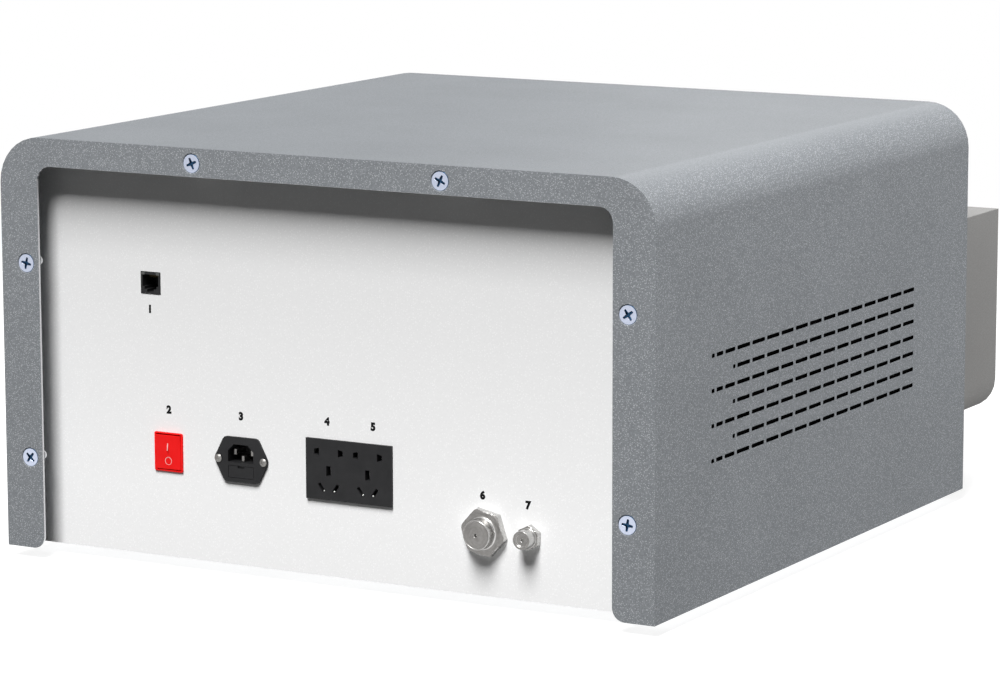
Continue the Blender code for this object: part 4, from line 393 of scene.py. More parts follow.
def wire(name, path, radius, upright, sides=10):
    """A round wire along a path: path + radius (n cos a + m sin a), with n and m square to the path."""
    path = np.asarray(path, float)
    along = np.gradient(path, axis=0)
    along /= np.linalg.norm(along, axis=1, keepdims=True)
    n = np.cross(along, upright)
    n /= np.linalg.norm(n, axis=1, keepdims=True)
    m = np.cross(along, n)
    reach = np.concatenate([[0], np.full(len(path), radius), [0]])[:, None, None]
    path, n, m = (np.vstack([p[:1], p, p[-1:]]) for p in (path, n, m))
    a = np.linspace(0, TURN, sides, endpoint=False)[None, :, None]
    grid = path[:, None] + reach * (n[:, None] * np.cos(a) + m[:, None] * np.sin(a))
    return skin(name, grid, round_columns=True, sharp=60)


def plate(name, outline, axis, low, high, ease):
    """A flat outline made thick: it is drawn in by the ease, out to its full size, and in again, and
    each end is closed by drawing it in to its middle."""
    p = np.asarray(outline, float)
    way = np.roll(p, -1, 0) - np.roll(p, 1, 0)
    out = np.stack([way[:, 1], -way[:, 0]], -1) / np.maximum(np.linalg.norm(way, axis=1), 1e-9)[:, None]
    swept = (p * np.roll(p, -1, 0)[:, ::-1]) @ (1, -1)
    out *= np.sign(swept.sum())
    a = np.linspace(0, math.pi / 2, 4)
    inset = np.concatenate([ease * (1 - np.sin(a)), ease * (1 - np.cos(a))])
    height = np.concatenate([low + ease * (1 - np.cos(a)), high - ease * (1 - np.sin(a))])
    rims = p[None] - out[None] * inset[:, None, None]
    middle = np.broadcast_to(p.mean(0), (1, *p.shape))
    flat = np.concatenate([middle, rims, middle])
    height = np.concatenate([[low], height, [high]])
    grid = np.concatenate([flat, np.broadcast_to(height[:, None, None], (*flat.shape[:2], 1))], -1)
    return skin(name, laid(grid, axis, (0, 0, 0)), round_columns=True)


def rounded(w, h, r, steps=6):
    """The outline of a rectangle of half sizes w and h with round corners."""
    a = np.linspace(0, math.pi / 2, steps)
    turns = a[None] + np.arange(4)[:, None] * math.pi / 2
    sx, sz = np.array([1, -1, -1, 1])[:, None], np.array([1, 1, -1, -1])[:, None]
    return np.stack([sx * (w - r) + r * np.cos(turns), sz * (h - r) + r * np.sin(turns)], -1).reshape(-1, 2)


def wear(obj, material, body, *nodes):
    """Gives a piece its finish and its body, and lets it stand for these solids."""
    obj.data.materials.clear()
    obj.data.materials.append(material)
    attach(obj, body)
    if nodes:
        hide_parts(*nodes)


def face_values(obj, key, kind=float, width=1):
    """What this key holds of every face, as rows of this width."""
    values = np.empty(width * len(obj.data.polygons), dtype=kind)
    obj.data.polygons.foreach_get(key, values)
    return values.reshape(-1, width)


def second_finish(obj, material, chosen):
    """Another finish on the faces that are chosen."""
    obj.data.materials.append(material)
    obj.data.polygons.foreach_set("material_index", chosen.astype(np.int32))


# The solids that stay: doubles merged, round faces smoothed, long edges broken


def smooth_by_angle():
    """A node group that shades faces smooth across edges under 35 degrees."""
    tree = bpy.data.node_groups.new("smooth_round_faces", "GeometryNodeTree")
    for way in ("INPUT", "OUTPUT"):
        tree.interface.new_socket("Geometry", in_out=way, socket_type="NodeSocketGeometry")
    start, end = tree.nodes.new("NodeGroupInput"), tree.nodes.new("NodeGroupOutput")
    angle, sharp = tree.nodes.new("GeometryNodeInputMeshEdgeAngle"), tree.nodes.new("FunctionNodeCompare")
    sharp.data_type, sharp.operation = "FLOAT", "LESS_THAN"
    sharp.inputs["B"].default_value = math.radians(35)
    faces, edges = (tree.nodes.new("GeometryNodeSetShadeSmooth") for _ in range(2))
    edges.domain = "EDGE"
    tree.links.new(start.outputs[0], faces.inputs["Geometry"])
    tree.links.new(faces.outputs[0], edges.inputs["Geometry"])
    tree.links.new(angle.outputs["Unsigned Angle"], sharp.inputs["A"])
    tree.links.new(sharp.outputs["Result"], edges.inputs["Shade Smooth"])
    tree.links.new(edges.outputs[0], end.inputs[0])
    return tree


SMOOTH = smooth_by_angle()


def dress(material, ease, *names):
    """Gives these solids a finish, and breaks their edges by the ease where it isn't 0."""
    for name in names:
        node = NODES[name]
        node.data.materials.clear()
        node.data.materials.append(material)
        node.modifiers.new("merge", "WELD").merge_threshold = 1e-5
        if ease:
            broken = node.modifiers.new("broken_edges", "BEVEL")
            broken.width, broken.segments, broken.limit_method = ease, 2, "ANGLE"
            broken.angle_limit = math.radians(35)
        node.modifiers.new("smooth", "NODES").node_group = SMOOTH


dress(COVER_COAT, 0, "cover", "side_channel_left", "side_channel_right")
dress(PANEL_WHITE, 0, "rear_panel", "front_panel")
dress(STAND_COAT, 0, "stand_housing", "stand_door")
dress(ZINC_SHEET, 0, "base_tray", "fan_bracket", "spark_source")
dress(BLACK_PLASTIC, 0, "lan_jack", "inlet_body", "outlet_block", "fuse_drawer", "fan_frame", "fan_rotor")
dress(BLACK_PLASTIC, 0, "grating_mount", "detector_bar", "entrance_slit")
dress(RED_PLASTIC, 0.12 * MM, "switch_body", "switch_rocker")
dress(UNION_STEEL, 0, "inlet_pin_line", "inlet_pin_neutral", "inlet_pin_earth")
dress(BRASS, 0, "waste_nut", "argon_nut", "valve_block")
dress(BRUSHED_STEEL, 0, "spark_table")
dress(TURNED_STEEL, 0, "clamp_post")
dress(MILLED_ALUMINIUM, 0.4 * MM, "clamp_arm", "spark_chamber", "power_supply")
dress(MILLED_ALUMINIUM, 0, "light_tube")
dress(CAST_ALUMINIUM, 0, "optical_chamber", "optical_lid")
dress(CIRCUIT_BOARD, 0, "main_board")
dress(RULED_MIRROR, 0, "grating")
dress(HOSE, 0, "argon_inlet_hose", "argon_hose")
dress(WASTE_HOSE, 0, "waste_hose")
dress(SILICONE, 0, "spark_cable")

for channel in (NODES["side_channel_left"], NODES["side_channel_right"]):
    second_finish(channel, CUT_EDGE, np.abs(face_values(channel, "center", width=3)[:, 0]) < TAB_X)


# Cover: screws, slots lined with painted shade, and the filters behind them


def cross_cut(u, v, reach, half, depth):
    """Depth of a cross recess: full along both arms, which narrow outwards and shallow towards their ends."""
    u, v = np.abs(u), np.abs(v)
    far, near = np.maximum(u, v), np.minimum(u, v)
    side = (half * (1.25 - 0.5 * far / reach) - near) / (0.35 * half)
    wall = np.minimum(side, (reach - far) / (0.3 * half))
    hub = (1.5 * half - np.hypot(u, v)) / (0.4 * half)
    inside = np.clip(np.maximum(wall, hub), 0, 1)
    return depth * inside * inside * (3 - 2 * inside) * (1 - 0.5 * np.clip(far / reach, 0, 1))


def cross_screw(name, centre, outward, turn, skins, head_r, dome, below, reach, half, depth):
    """A cross-head screw: a disc (r cos a, r sin a, dome (1 - r^2 / R^2)) less its cross, over a turned
    body. The second finish goes on the cross and on the bevel round the head; where it is darker, it is
    painted shade."""
    rings, steps = 34, 96
    top = np.linspace(0, head_r, rings)
    r = np.concatenate([top, [b[0] for b in below]])
    h = np.concatenate([dome * (1 - (top / head_r) ** 2), [b[1] for b in below]])
    a = np.linspace(0, TURN, steps, endpoint=False)[:, None]
    height = np.broadcast_to(h, (steps, len(r))).copy()
    height[:, :rings] -= cross_cut(top * np.cos(a - turn), top * np.sin(a - turn), reach, half, depth)
    grid = np.stack([r * np.cos(a), r * np.sin(a), outward * height], -1)
    screw = skin(name, laid(grid, "Y", centre), round_rows=True, sharp=50)
    wear(screw, skins[0], "cabinet")
    x, y, z = (face_values(screw, "center", width=3) - centre).T
    far = np.hypot(x, z)
    level = dome * (1 - (far / head_r) ** 2) - outward * y
    # Painted shade: the cross and the bevel round the head take the second finish.
    dark = ((far < head_r * 0.9) & (level > 0.12 * depth)) | ((far > head_r) & (level < 0.4 * depth))
    second_finish(screw, skins[1], dark)
    return screw


def make_cover_screws():
    """Countersunk screws of the rear flange, and the same six in the front flange."""
    head_r, rim_r, shank_r, dome, sunk = 6.8 * MM, 7.35 * MM, 2.8 * MM, 0.0, 0.3 * MM
    rim, neck, tip = -0.5 * MM, -4.1 * MM, -11.9 * MM
    reach, half, depth = 4.5 * MM, 1.05 * MM, 2.4 * MM
    below = ((rim_r, rim), (shank_r, neck), (shank_r, tip), (0, tip))
    sizes = (ZINC_PLATE, SCREW_PAINTED_SHADE), head_r, dome, below, reach, half, depth
    for i, ((x, z), turn) in enumerate(zip(SCREW_AT, SCREW_TURNS)):
        x, z, turn = x * MM, Z0 + z * MM, math.radians(turn)
        rear = cross_screw(f"rear_flange_screw_{i + 1}", (x, REAR_Y - sunk, z), 1, turn, *sizes)
        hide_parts(f"cover_screw_{i + 1}")
        cross_screw(f"front_flange_screw_{i + 1}", (x, sunk - REAR_Y, z), -1, 1 - turn, *sizes)


def make_flange_edges():
    """Bare cut edge of the sheet round each flange's window: a flat four-sided band carried along the
    window's outline, down one leg, across the top and down the other."""
    a, b = np.linspace(0, math.pi / 2, 8), np.linspace(-math.pi / 2, -math.pi, 8)
    foot = (WINDOW_X + WINDOW_FOOT_R, Z0 / MM + WINDOW_FOOT_R)
    corner = (WINDOW_X - WINDOW_R, WINDOW_TOP - WINDOW_R)
    right = np.concatenate([foot + WINDOW_FOOT_R * np.stack([np.cos(b), np.sin(b)], -1),
                            corner + WINDOW_R * np.stack([np.cos(a), np.sin(a)], -1)])
    path = np.concatenate([right, right[::-1] * (-1, 1)])
    corners = ((0.02, 0.1), (0.10, 0.2), (0.10, 1.8), (0.02, 1.9))  # into the window, and inwards
    way = np.gradient(path, axis=0)
    inward = np.stack([-way[:, 1], way[:, 0]], -1) / np.linalg.norm(way, axis=1, keepdims=True)
    for sign, name in ((1, "rear"), (-1, "front")):
        rims = []
        for rise, back in corners:
            flat = path + inward * rise
            y = np.full(len(flat), sign * (REAR_Y / MM - back))
            rims.append(np.stack([flat[:, 0], y, flat[:, 1]], -1))
        band = skin(f"{name}_window_cut_edge", np.stack(rims, 1) * MM, round_columns=True)
        wear(band, CUT_EDGE, "cabinet")


def vent_places():
    """Middle y and z and half length of every slot in one side, as arrays."""
    full = [(VENT_START + VENT_PITCH * k, VENT_LONG) for k in range(VENT_FULL)]
    rows = []
    for row in range(VENT_ROWS):
        starts, lengths = np.array([*VENT_SHORTER[row % 2], *full]).T
        z = np.full(len(starts), Z0 / MM + VENT_TOP - VENT_DROP * row)
        rows.append(np.stack([REAR_Y / MM - starts - lengths / 2, z, lengths / 2], -1))
    return np.concatenate(rows) * MM


def make_slot_fillets_and_shade():
    """Painted shade: a black lining on the walls of every slot, and the coated fillets between it and the
    slot's square corners. The lining runs along the straights and the corner arcs
    (a - r + r cos t, b - r + r sin t)."""
    rise, r, inset, steps = 1.5 * MM, 0.9 * MM, 0.03 * MM, 5
    y, z, half = vent_places().T
    signs = np.repeat(np.array([(1, 1), (-1, 1), (-1, -1), (1, -1)]), steps, 0)
    t = (np.arange(4)[:, None] + np.linspace(0, 1, steps)).ravel() * math.pi / 2
    arc = r * np.stack([np.cos(t), np.sin(t)], -1)
    reach = np.stack([half, np.full(len(half), rise)], -1)[:, None]
    place = np.stack([y, z], -1)[:, None]
    rim = place + signs * (reach - inset - r) + arc
    square = place + (signs * reach)[:, ::steps]
    flat = np.concatenate([rim, square], 1)
    n, m = 4 * steps, 4 * steps + 4  # points of the lining's rim, and of the rim with the slot's corners
    parts = []
    for x in (COVER_X, COVER_X - SHEET, -COVER_X, SHEET - COVER_X):
        parts.append(np.concatenate([np.full((*flat.shape[:2], 1), x), flat], -1))
    points = np.stack(parts, 1).reshape(-1, 2, m, 3)
    k = np.arange(n)
    wall = np.stack([k, (k + 1) % n, (k + 1) % n + m, k + m], -1)
    k = k[k % steps < steps - 1]
    fan = np.stack([n + k // steps, k, k + 1], -1)
    start = 2 * m * np.arange(len(points))[:, None, None]
    fans = np.concatenate([fan, fan + m])
    faces = (wall + start).reshape(-1, 4).tolist() + (fans + start).reshape(-1, 3).tolist()
    mesh = bpy.data.meshes.new("vent_slot_fillets_and_painted_shade")
    mesh.from_pydata(points.reshape(-1, 3).tolist(), [], faces)
    made = shown("vent_slot_fillets_and_painted_shade", mesh)
    wear(made, COVER_COAT, "cabinet")
    # Painted shade: the four-sided faces, the slot walls, wear the black foam finish.
    second_finish(made, FOAM_AND_SLOT_SHADE, face_values(made, "loop_total", np.int32)[:, 0] == 4)


def make_vent_filters():
    """Foam pads behind the slots: a slab whose face rises and falls as sin y sin z, by 0.2 mm."""
    rows, columns, middle = 90, 30, COVER_X - 3.1 * MM
    front_y, rear_y, low, high = -182 * MM, 196 * MM, 98 * MM, 199 * MM
    y, z = np.meshgrid(np.linspace(front_y, rear_y, rows), np.linspace(low, high, columns), indexing="ij")
    edge = np.minimum.reduce([y - y.min(), y.max() - y, z - z.min(), z.max() - z])
    half = np.where(edge > 0, 0.45 * MM, 0.0)
    swell = 0.2 * MM * np.sin(y / (9 * MM)) * np.sin(z / (7 * MM)) * (edge > 0)
    faces = np.concatenate([cells(rows, columns), cells(rows, columns) + rows * columns])
    for side, name in ((1, "vent_filter_far_side"), (-1, "vent_filter_near_side")):
        front = np.stack([side * (middle + half + swell), y, z], -1)
        back = np.stack([side * (middle - half), y, z], -1)
        wear(piece(name, np.concatenate([front, back]), faces), FOAM_AND_SLOT_SHADE, "cabinet")


make_cover_screws()
make_flange_edges()
make_slot_fillets_and_shade()
make_vent_filters()


# Feet


def make_feet():
    """Turned rubber feet, hollowed below, each with the cup that its screw sits in."""
    profile = [(0, 8.7), (14, 8.7), (13.2, 1.2), (12, 0), (8, 0), (7, 1.4), (4.2, 1.6), (3.8, 5), (0, 5)]
    profile = eased(np.array(profile) * MM, 0.9 * MM)
    for name in ("foot_fl", "foot_fr", "foot_rl", "foot_rr"):
        low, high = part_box(name)
        x, y = (low.x + high.x) / 2, (low.y + high.y) / 2
        wear(turned(name + "_rubber", profile, "Z", (x, y, 0)), RUBBER, "cabinet", name)


make_feet()


# Rear panel: connectors


def make_inlet_screws():
    """Round cross heads either side of the inlet."""
    head_r, dome, rim, back = 3.1 * MM, 1.3 * MM, -0.5 * MM, -0.7 * MM
    reach, half, depth = 1.6 * MM, 0.34 * MM, 0.6 * MM
    below, skins = ((head_r, rim), (2.9 * MM, back), (0, back)), (UNION_STEEL, UNION_STEEL)
    for name, x, turn in (("left", INLET_X + INLET_SCREW_X, 0.3), ("right", INLET_X - INLET_SCREW_X, 1.1)):
        place = (x, REAR_PANEL_Y + 2.9 * MM, INLET_Z)
        cross_screw("inlet_screw_" + name, place, 1, turn, skins, head_r, dome, below, reach, half, depth)


def make_rocker_marks():
    """The bar and the ring let into the rocker's two faces, which slope from its middle line."""
    face, half_high, proud = REAR_PANEL_Y + 0.3 * MM, 13.1 * MM, 0.06 * MM
    low, middle, high = 1.4 * MM, 1.3 * MM, 2.9 * MM  # how far the rocker stands out, from its foot up
    ring_r, line_r, steps, sides = 2.85 * MM, 0.26 * MM, 48, 8
    bar = plate("mark", rounded(0.42 * MM, 5.4 * MM, 0.2 * MM), "Y", -0.05 * MM, proud, 0.02 * MM)
    a = np.linspace(0, TURN, steps, endpoint=False)[:, None]
    b = np.linspace(0, TURN, sides, endpoint=False)[None]
    r = ring_r + line_r * np.cos(b)
    grid = np.stack(np.broadcast_arrays(r * np.cos(a), proud * np.sin(b), r * np.sin(a)), -1)
    ring = skin("mark", grid, round_rows=True, round_columns=True)
    for mark, at, rise in ((bar, 6.6 * MM, high - middle), (ring, -6.9 * MM, middle - low)):
        slope = rise / half_high
        place = Matrix.Translation((ROCKER_X, face + middle + slope * at, ROCKER_Z + at))
        mark.data.transform(place @ Matrix.Rotation(math.atan(slope), 4, "X"))
    wear(gathered("rocker_bar_and_ring", [bar, ring]), MARK_PINK, "rocker")


def make_numerals():
    """Plain black numerals beside the connectors, printed on the panel: x and height above Z0 in
    millimetres. Their strokes are bolder than the font's by a share of the size."""
    places = (("1", 161.9, 189.3), ("2", 146.1, 113.4), ("3", 81.3, 114.1), ("4", 5.6, 117.0),
              ("5", -34.1, 116.6), ("6", -126.6, 74.5), ("7", -164.3, 70.9))
    size, thick, bolder = 7.8 * MM, 0.02 * MM, 0.07
    parts = []
    for body, x, z in places:
        curve = bpy.data.curves.new("numeral", "FONT")
        curve.body, curve.size, curve.align_x, curve.align_y = body, size, "CENTER", "CENTER"
        curve.extrude, curve.resolution_u, curve.offset = thick, 6, bolder * size
        text = shown("numeral", curve)
        mesh = finished_mesh(text)
        bpy.data.objects.remove(text)
        stand = ((-1, 0, 0, x * MM), (0, 0, 1, REAR_PANEL_Y + thick), (0, 1, 0, Z0 + z * MM), (0, 0, 0, 1))
        mesh.transform(Matrix(stand))
        parts.append(shown("numeral", mesh))
    wear(gathered("panel_numerals", parts), INK, "cabinet")


def make_network_contacts():
    """Eight sprung wires in the network socket: each falls forward from the roof, (y, z) on a bent line."""
    count, pitch, thick, back = 8, 1.02 * MM, 0.2 * MM, REAR_PANEL_Y - 15.5 * MM
    t = np.linspace(0, 1, 14)
    y, z = back + t * 11.5 * MM, LAN_Z + 6.0 * MM - 5.2 * MM * np.sin(t * math.pi / 2) * (1 - t) ** 0.3
    wires = []
    for k in range(count):
        path = np.stack([np.full(len(t), LAN_X + (k - (count - 1) / 2) * pitch), y, z], -1)
        wires.append(wire("contact", path, thick, (1, 0, 0), 6))
    wear(gathered("network_contacts", wires), GOLD_PAINTED_SHADE, "cabinet")


def make_network_lights():
    """Two small light windows in the socket's upper corners."""
    for side, name in ((1, "left"), (-1, "right")):
        outline = rounded(1.5 * MM, 1.0 * MM, 0.3 * MM) + (LAN_X + 6.6 * MM * side, LAN_Z + 7.1 * MM)
        made = plate("network_light_" + name, outline, "Y", REAR_PANEL_Y, REAR_PANEL_Y + 0.55 * MM, 0.12 * MM)
        wear(made, LAMP_GREY, "cabinet")


def make_outlet_contacts():
    """Folded contact leaves in the slots, each a U-shaped line carried up its slot, and a bead at each
    slanted slot's foot: (r sin a, r cos a) turned round."""
    face, slant, bead_r, bead_in = REAR_PANEL_Y + 2.3 * MM, math.radians(35.5), 0.85 * MM, 1.2 * MM
    t, a = np.linspace(-1, 1, 13), np.linspace(0, math.pi, 9)
    depth = -5.5 * MM - 5 * MM * (1 - np.abs(t)) ** 0.7
    bead = np.stack([bead_r * np.sin(a), bead_r * np.cos(a) - bead_in], -1)
    leaves, beads = [], []
    for middle in (OUTLET_X + SOCKET_X, OUTLET_X - SOCKET_X):
        places = [(middle + s * 6.2 * MM, 67.6 * MM, s * slant, 0.9, 3.3) for s in (-1, 1)]
        places.append((middle, 80.3 * MM, 0, 1.5, 3.4))
        places += [(middle + s * 10.3 * MM, 94.4 * MM, math.pi / 2, 1.5, 1.6) for s in (-1, 1)]
        for x, z, turn, half, reach in places:
            u = half * MM * np.sign(t) * np.minimum(1, np.abs(t) * 2.2)
            rows = np.array([-reach, reach])[:, None] * MM
            leaf = skin("leaf", np.stack(np.broadcast_arrays(u, depth, rows), -1))
            thick = leaf.modifiers.new("thickness", "SOLIDIFY")
            thick.thickness, thick.offset = 0.25 * MM, 0
            solid = finished_mesh(leaf)
            solid.transform(Matrix.Translation((x, face, Z0 + z)) @ Matrix.Rotation(turn, 4, "Y"))
            leaf.modifiers.clear()
            leaf.data = solid
            leaves.append(leaf)
        for side in (-1, 1):
            foot = (middle + side * 4.3 * MM, face, Z0 + 65.0 * MM)
            beads.append(turned("bead", bead, "Y", foot, 16))
    wear(gathered("outlet_contacts", leaves + beads), CONTACT_STEEL, "cabinet")


def hexagon_bar(name, x, z, radius, turn, low, high):
    """A chamfered hexagon: at angle a its reach is the lesser of the flat's a / cos(a - middle of the flat)
    and the chamfer's cone."""
    step, apothem = 0.3 * MM, radius * math.cos(math.pi / 6)
    a = np.linspace(0, TURN, 144, endpoint=False)[:, None] + turn
    flat = apothem / np.cos((a - turn) % (math.pi / 3) - math.pi / 6)
    h = np.array([low, low, high - 3 * step, high - 2 * step, high - step, high, high])
    cone = apothem * 0.985 + (high - h) * 2.2
    reach = np.minimum(flat, cone[None])
    reach[:, 0] = reach[:, -1] = 0
    grid = np.stack([reach * np.cos(a), reach * np.sin(a), np.broadcast_to(h, reach.shape)], -1)
    return skin(name, laid(grid, "Y", (x, 0, z)), round_rows=True, sharp=25)


def make_gas_union(name, node, at, turn, hex_r, hex_high, boss_r, stem_r, hose_r, nose):
    """A bulkhead union: hexagon and boss outside the panel, stem and barbed hose end inside it. Its sides
    wear a lighter steel than its faces square to the panel: painted light and shade on one metal."""
    x, z = at[0] * MM, Z0 + at[1] * MM
    boss_high, seat, shoulder, end, barb_pitch = 14.5, 1.2, -12.0, -22.0, 3
    barbs = [(hose_r, shoulder)]
    for k in range(3):
        low = shoulder - barb_pitch * k
        barbs += [(hose_r, low - 1.2), (hose_r * 0.86, low - 3.8)]
    flare = 0.45 * (hex_r - boss_r)
    neck = [(boss_r + flare * s * s, hex_high + 0.1 + flare * (1 - s) ** 2) for s in np.linspace(0, 1, 7)]
    body = [*nose, (boss_r, boss_high), *neck, (boss_r, hex_high - 0.1), (boss_r * 0.94, seat),
            (stem_r, seat), (stem_r, shoulder), *barbs, (hose_r * 0.8, end), (0, end)]
    body = np.array(body) * MM + (0, REAR_PANEL_Y)
    ends = REAR_PANEL_Y + 0.3 * MM, REAR_PANEL_Y + hex_high * MM
    parts = [turned(name, eased(body, 0.35 * MM), "Y", (x, 0, z), 72),
             hexagon_bar(name, x, z, hex_r * MM, turn, *ends)]
    union = gathered(name, parts)
    wear(union, UNION_STEEL, "cabinet", node)
    # Painted light and shade: faces square to the panel keep the darker steel, the others take the lighter.
    second_finish(union, STEEL_PAINTED_LIGHT, np.abs(face_values(union, "normal", width=3)[:, 1]) < 0.8)


make_inlet_screws()
make_rocker_marks()
make_numerals()
make_network_contacts()
make_network_lights()
make_outlet_contacts()
make_gas_union(
    "waste_union", "waste_fitting", at=(-129.2, 48), turn=math.radians(11.7), hex_r=18.6, hex_high=6.0,
    boss_r=11.0, stem_r=9.7, hose_r=7.4,
    nose=[(0, 12.7), (1.1, 12.9), (1.1, 15.6), (2.4, 16.1), (5.0, 15.9), (8.0, 15.2), (9.6, 14.6),
          (9.9, 14.6), (10.4, 15.0)])
make_gas_union(
    "argon_union", "argon_fitting", at=(-166.5, 48), turn=math.radians(-27), hex_r=9.4, hex_high=5.0,
    boss_r=6.9, stem_r=5.6, hose_r=3.4,
    nose=[(0, 11.0), (1.1, 11.0), (1.1, 13.0), (4.6, 13.2), (4.9, 14.4), (5.6, 14.7), (6.3, 14.6)])


# Front: buttons and the sample clamp


# Name, x, radius of the cap in millimetres, and finish
BUTTONS = (("start_button", 130 * MM, 11, GREEN_PLASTIC), ("stop_button", 190 * MM, 15, RED_PLASTIC))


def make_buttons():
    """Domed caps on their stems: the dome rises as 1 - (r / R)^2."""
    rim, back, stem_r, stop_r, stop, end = -12.0, -5.0, 7.7, 10.2, 2.3, 5.3
    for name, x, cap, material in BUTTONS:
        dome = [(cap * s, rim - 0.6 - 1.4 * (1 - s * s)) for s in np.linspace(0, 0.93, 9)]
        profile = [*dome, (cap, rim), (cap, back), (stem_r, back), (stem_r, stop), (stop_r, stop),
                   (stop_r, end), (0, end)]
        profile = eased(np.array(profile) * MM, 0.6 * MM)
        low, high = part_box(name)
        z = (low.z + high.z) / 2
        wear(turned(name + "_cap", profile, "Y", (x, FRONT_PANEL_Y, z)), material, name, name)


def make_button_rings():
    """Turned collars round the two buttons, seated on the front panel."""
    inner = 8.2
    for name, x, _, _ in BUTTONS:
        low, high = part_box(name)
        z, outer = (low.z + high.z) / 2, (high.x - low.x) / 2 / MM + 1.5
        profile = [(inner, 0), (inner, -0.5), (outer - 0.7, -0.9), (outer, -0.3), (outer, 0), (inner, 0)]
        ring = turned(name + "_collar", np.array(profile) * MM, "Y", (x, FRONT_PANEL_Y, z))
        wear(ring, TURNED_STEEL, "cabinet")


def make_plunger():
    """Clamp plunger: a knurled knob whose reach is R - 0.3 |sin 24a| mm, a stem, and a pad."""
    low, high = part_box("clamp_plunger")
    x, y = (low.x + high.x) / 2, (low.y + high.y) / 2
    knob_r, stem_r, pad_r, knurls, steps = 12 * MM, 4 * MM, 9 * MM, 24, 192
    top, under, pad_top, pad = high.z, high.z - 11 * MM, low.z + 8 * MM, low.z
    body = [(0, top), (knob_r - 2 * MM, top), (knob_r, top - 2 * MM), (knob_r, under), (stem_r, under),
            (stem_r, pad_top), (pad_r, pad_top), (pad_r, pad + 1 * MM), (pad_r - 1 * MM, pad), (0, pad)]
    r, h = eased(body, 0.7 * MM).T
    a = np.linspace(0, TURN, steps, endpoint=False)[:, None]
    r = r - 0.3 * MM * np.abs(np.sin(knurls * a)) * ((h > under + 1 * MM) & (r > knob_r - 1 * MM))
    grid = np.stack([r * np.cos(a), r * np.sin(a), np.broadcast_to(h, r.shape)], -1)
    knob = skin("clamp_plunger_turned", laid(grid, "Z", (x, y, 0)), round_rows=True)
    wear(knob, TURNED_STEEL, "clamp_plunger", "clamp_plunger")


def make_spring():
    """A helix (R cos a, R sin a, rise a), its last half turn at each end nearly flat."""
    low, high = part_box("plunger_spring")
    x, y, w, turns = (low.x + high.x) / 2, (low.y + high.y) / 2, 0.8 * MM, 5.5
    radius, bottom, top = (high.x - low.x) / 2 - w, low.z + w, high.z - w
    t = np.linspace(0, 1, 260)
    a = TURN * turns * t
    rise = bottom + (top - bottom) * (0.06 * t + 0.94 * np.clip((t - 0.09) / 0.82, 0, 1))
    path = np.stack([x + radius * np.cos(a), y + radius * np.sin(a), rise], -1)
    made = wire("clamp_spring_wire", path, w, (0, 0, 1), 12)
    wear(made, SPRING_STEEL, "clamp_arm", "plunger_spring")
    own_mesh(made)


def make_electrode():
    """Ceramic plug with shed rings, and the ground point of the electrode in it."""
    low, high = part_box("electrode_base")
    x, y = (low.x + high.x) / 2, (low.y + high.y) / 2
    body = [(0, 40), (8, 40), (12, 34), (12, 13.7), (17, 13.7), (17, 10), (15.4, 9), (17, 8), (17, 5),
            (15.4, 4), (17, 3), (17, 0), (0, 0)]
    profile = eased(np.array(body) * MM, 0.7 * MM)
    plug = turned("electrode_insulator", profile, "Z", (x, y, low.z))
    low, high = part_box("counter_electrode")
    top, rod_r = high.z, 2.3 * MM
    tip = [(0, top), (0.25 * MM, top - 0.15 * MM), (rod_r, top - 2.6 * MM), (rod_r, low.z), (0, low.z)]
    wear(plug, CERAMIC, "cabinet", "electrode_base")
    wear(turned("electrode_point", tip, "Z", (x, y, 0)), TUNGSTEN, "cabinet", "counter_electrode")


def make_lens():
    """A lens whose two faces fall back by the square of the distance from its axis."""
    low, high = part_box("lens")
    x, z, radius = (low.x + high.x) / 2, (low.z + high.z) / 2, (high.x - low.x) / 2
    s = np.linspace(0, 1, 14)
    sag = 1.5 * MM * s**2
    r = np.concatenate([s, s[::-1]]) * radius
    h = np.concatenate([low.y + sag, (high.y - sag)[::-1]])
    wear(turned("lens_ground", np.stack([r, h], -1), "Y", (x, 0, z)), LENS_GLASS, "cabinet", "lens")


make_buttons()
make_button_rings()
make_plunger()
make_spring()
make_electrode()
make_lens()


# Stage, lamps and camera


def behind_rays(tree):
    """1 for camera, glossy and transmission rays, which see the white surroundings."""
    path = tree.nodes.new("ShaderNodeLightPath")
    total = None
    for key in ("Is Camera Ray", "Is Glossy Ray", "Is Transmission Ray"):
        if total is None:
            total = path.outputs[key]
            continue
        most = tree.nodes.new("ShaderNodeMath")
        most.operation = "MAXIMUM"
        tree.links.new(total, most.inputs[0])
        tree.links.new(path.outputs[key], most.inputs[1])
        total = most.outputs[0]
    return total


def make_surroundings(level):
    """White to the eye and in reflections, and this level of even light on the object."""
    world = bpy.data.worlds.new("studio")
    bpy.context.scene.world = world
    world.use_nodes = True
    tree = world.node_tree
    tree.nodes.clear()
    soft, white = (tree.nodes.new("ShaderNodeBackground") for _ in range(2))
    soft.inputs["Strength"].default_value, white.inputs["Strength"].default_value = level, 1.0
    for shade in (soft, white):
        shade.inputs["Color"].default_value = (1, 1, 1, 1)
    mix, end = tree.nodes.new("ShaderNodeMixShader"), tree.nodes.new("ShaderNodeOutputWorld")
    tree.links.new(behind_rays(tree), mix.inputs[0])
    tree.links.new(soft.outputs[0], mix.inputs[1])
    tree.links.new(white.outputs[0], mix.inputs[2])
    tree.links.new(mix.outputs[0], end.inputs["Surface"])


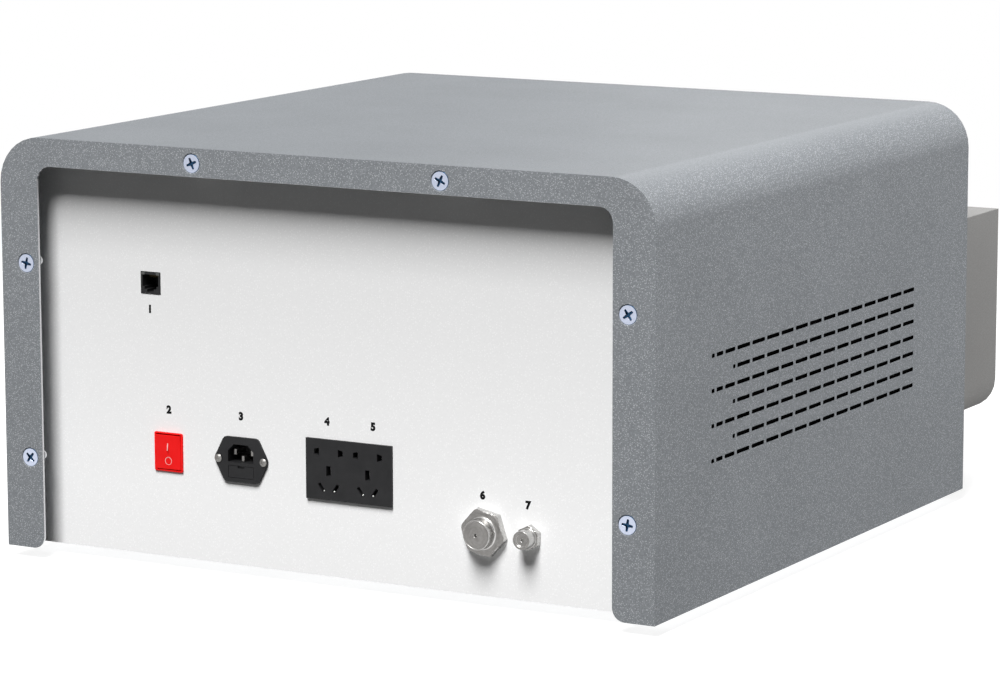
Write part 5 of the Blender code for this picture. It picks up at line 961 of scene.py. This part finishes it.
def make_floor():
    """A pale floor that keeps the object's shadow and brightens to white away from it."""
    near_grey, bounce_grey, glow_level, far_level = 0.30, 0.10, 0.84, 1.0
    radii, fade_from, fade_to = (0.0, 1.0, 2.0, 9.0), 0.8, 2.0
    a = np.linspace(0, TURN, 64, endpoint=False)[:, None]
    r = np.array(radii) * np.ones_like(a)
    grid = np.stack([r * np.cos(a), r * np.sin(a), np.zeros_like(r)], -1)
    floor = skin("studio_floor", grid, round_rows=True)
    m = bpy.data.materials.new("floor_white")
    m.use_nodes = True
    tree = m.node_tree
    tree.nodes.clear()
    near, glow, dull, far = (tree.nodes.new("ShaderNode" + kind) for kind in
                             ("BsdfDiffuse", "Emission", "BsdfDiffuse", "Emission"))
    for shader, grey in ((near, near_grey), (dull, bounce_grey)):
        shader.inputs["Color"].default_value = (grey, grey, grey, 1)
    for shader, strength in ((glow, glow_level), (far, far_level)):
        shader.inputs["Strength"].default_value = strength
    lit = tree.nodes.new("ShaderNodeAddShader")
    faded, seen = (tree.nodes.new("ShaderNodeMixShader") for _ in range(2))
    place, length = tree.nodes.new("ShaderNodeTexCoord"), tree.nodes.new("ShaderNodeVectorMath")
    length.operation = "LENGTH"
    fade, end = tree.nodes.new("ShaderNodeMapRange"), tree.nodes.new("ShaderNodeOutputMaterial")
    fade.inputs["From Min"].default_value, fade.inputs["From Max"].default_value = fade_from, fade_to
    for a, b in ((near.outputs[0], lit.inputs[0]), (glow.outputs[0], lit.inputs[1]),
                 (place.outputs["Object"], length.inputs[0]), (length.outputs["Value"], fade.inputs["Value"]),
                 (fade.outputs[0], faded.inputs[0]), (lit.outputs[0], faded.inputs[1]),
                 (far.outputs[0], faded.inputs[2]), (behind_rays(tree), seen.inputs[0]),
                 (dull.outputs[0], seen.inputs[1]),
                 (faded.outputs[0], seen.inputs[2]), (seen.outputs[0], end.inputs["Surface"])):
        tree.links.new(a, b)
    floor.data.materials.append(m)


LIT_POINT = Vector((0, 0, 0.15))

# The way from that point to each lamp, its distance, width and height in metres, and its level
LAMPS = {
    "key_above": ((-0.080, 0.565, 0.821), 9.0, 2.8, 4.3, 1.61),
    "side_soft": ((-0.97, -0.12, 0.12), 3.2, 1.6, 1.6, 0.74),
    "far_soft": ((0.97, -0.20, 0.14), 3.2, 1.6, 1.6, 0.50),
    "front_soft": ((0.22, -0.86, 0.46), 3.2, 1.3, 1.3, 0.60),
}


def lamp(name, direction, distance, wide, tall, level):
    """A soft lamp: at this level alone, a face square to it renders in its own colour."""
    light = bpy.data.lights.new(name, "AREA")
    light.shape, light.size, light.size_y = "RECTANGLE", wide, tall
    light.energy = level * math.pi**2 * distance**2
    way = Vector(direction).normalized()
    turn = way.to_track_quat("Z", "Y").to_matrix().to_4x4()
    shown(name, light).matrix_world = Matrix.Translation(LIT_POINT + way * distance) @ turn


def make_camera():
    """The photograph's view, from behind and above, fitted to the edges and corners of its case."""
    place, lens, sensor, far = (-1.5633, 2.7766, 0.6847), 147.09, 36.0, 50.0
    azimuth, rise, roll = (math.radians(v) for v in (209.3855, 9.6513, -0.1122))
    x, y, z = math.sin(azimuth) * math.cos(rise), -math.cos(azimuth) * math.cos(rise), math.sin(rise)
    back = Vector((x, y, z))
    right = (-back).cross(Vector((0, 0, 1))).normalized()
    up = right.cross(-back)
    right, up = math.cos(roll) * right + math.sin(roll) * up, math.cos(roll) * up - math.sin(roll) * right
    camera = bpy.data.cameras.new("photo_view")
    camera.lens, camera.sensor_width, camera.clip_end = lens, sensor, far
    eye = shown("photo_view", camera)
    eye.matrix_world = Matrix.Translation(place) @ Matrix((right, up, back)).transposed().to_4x4()
    bpy.context.scene.camera = eye


make_surroundings(level=0.03)
make_floor()
for lamp_name, values in LAMPS.items():
    lamp(lamp_name, *values)
make_camera()
bpy.context.scene.view_settings.view_transform = "Standard"
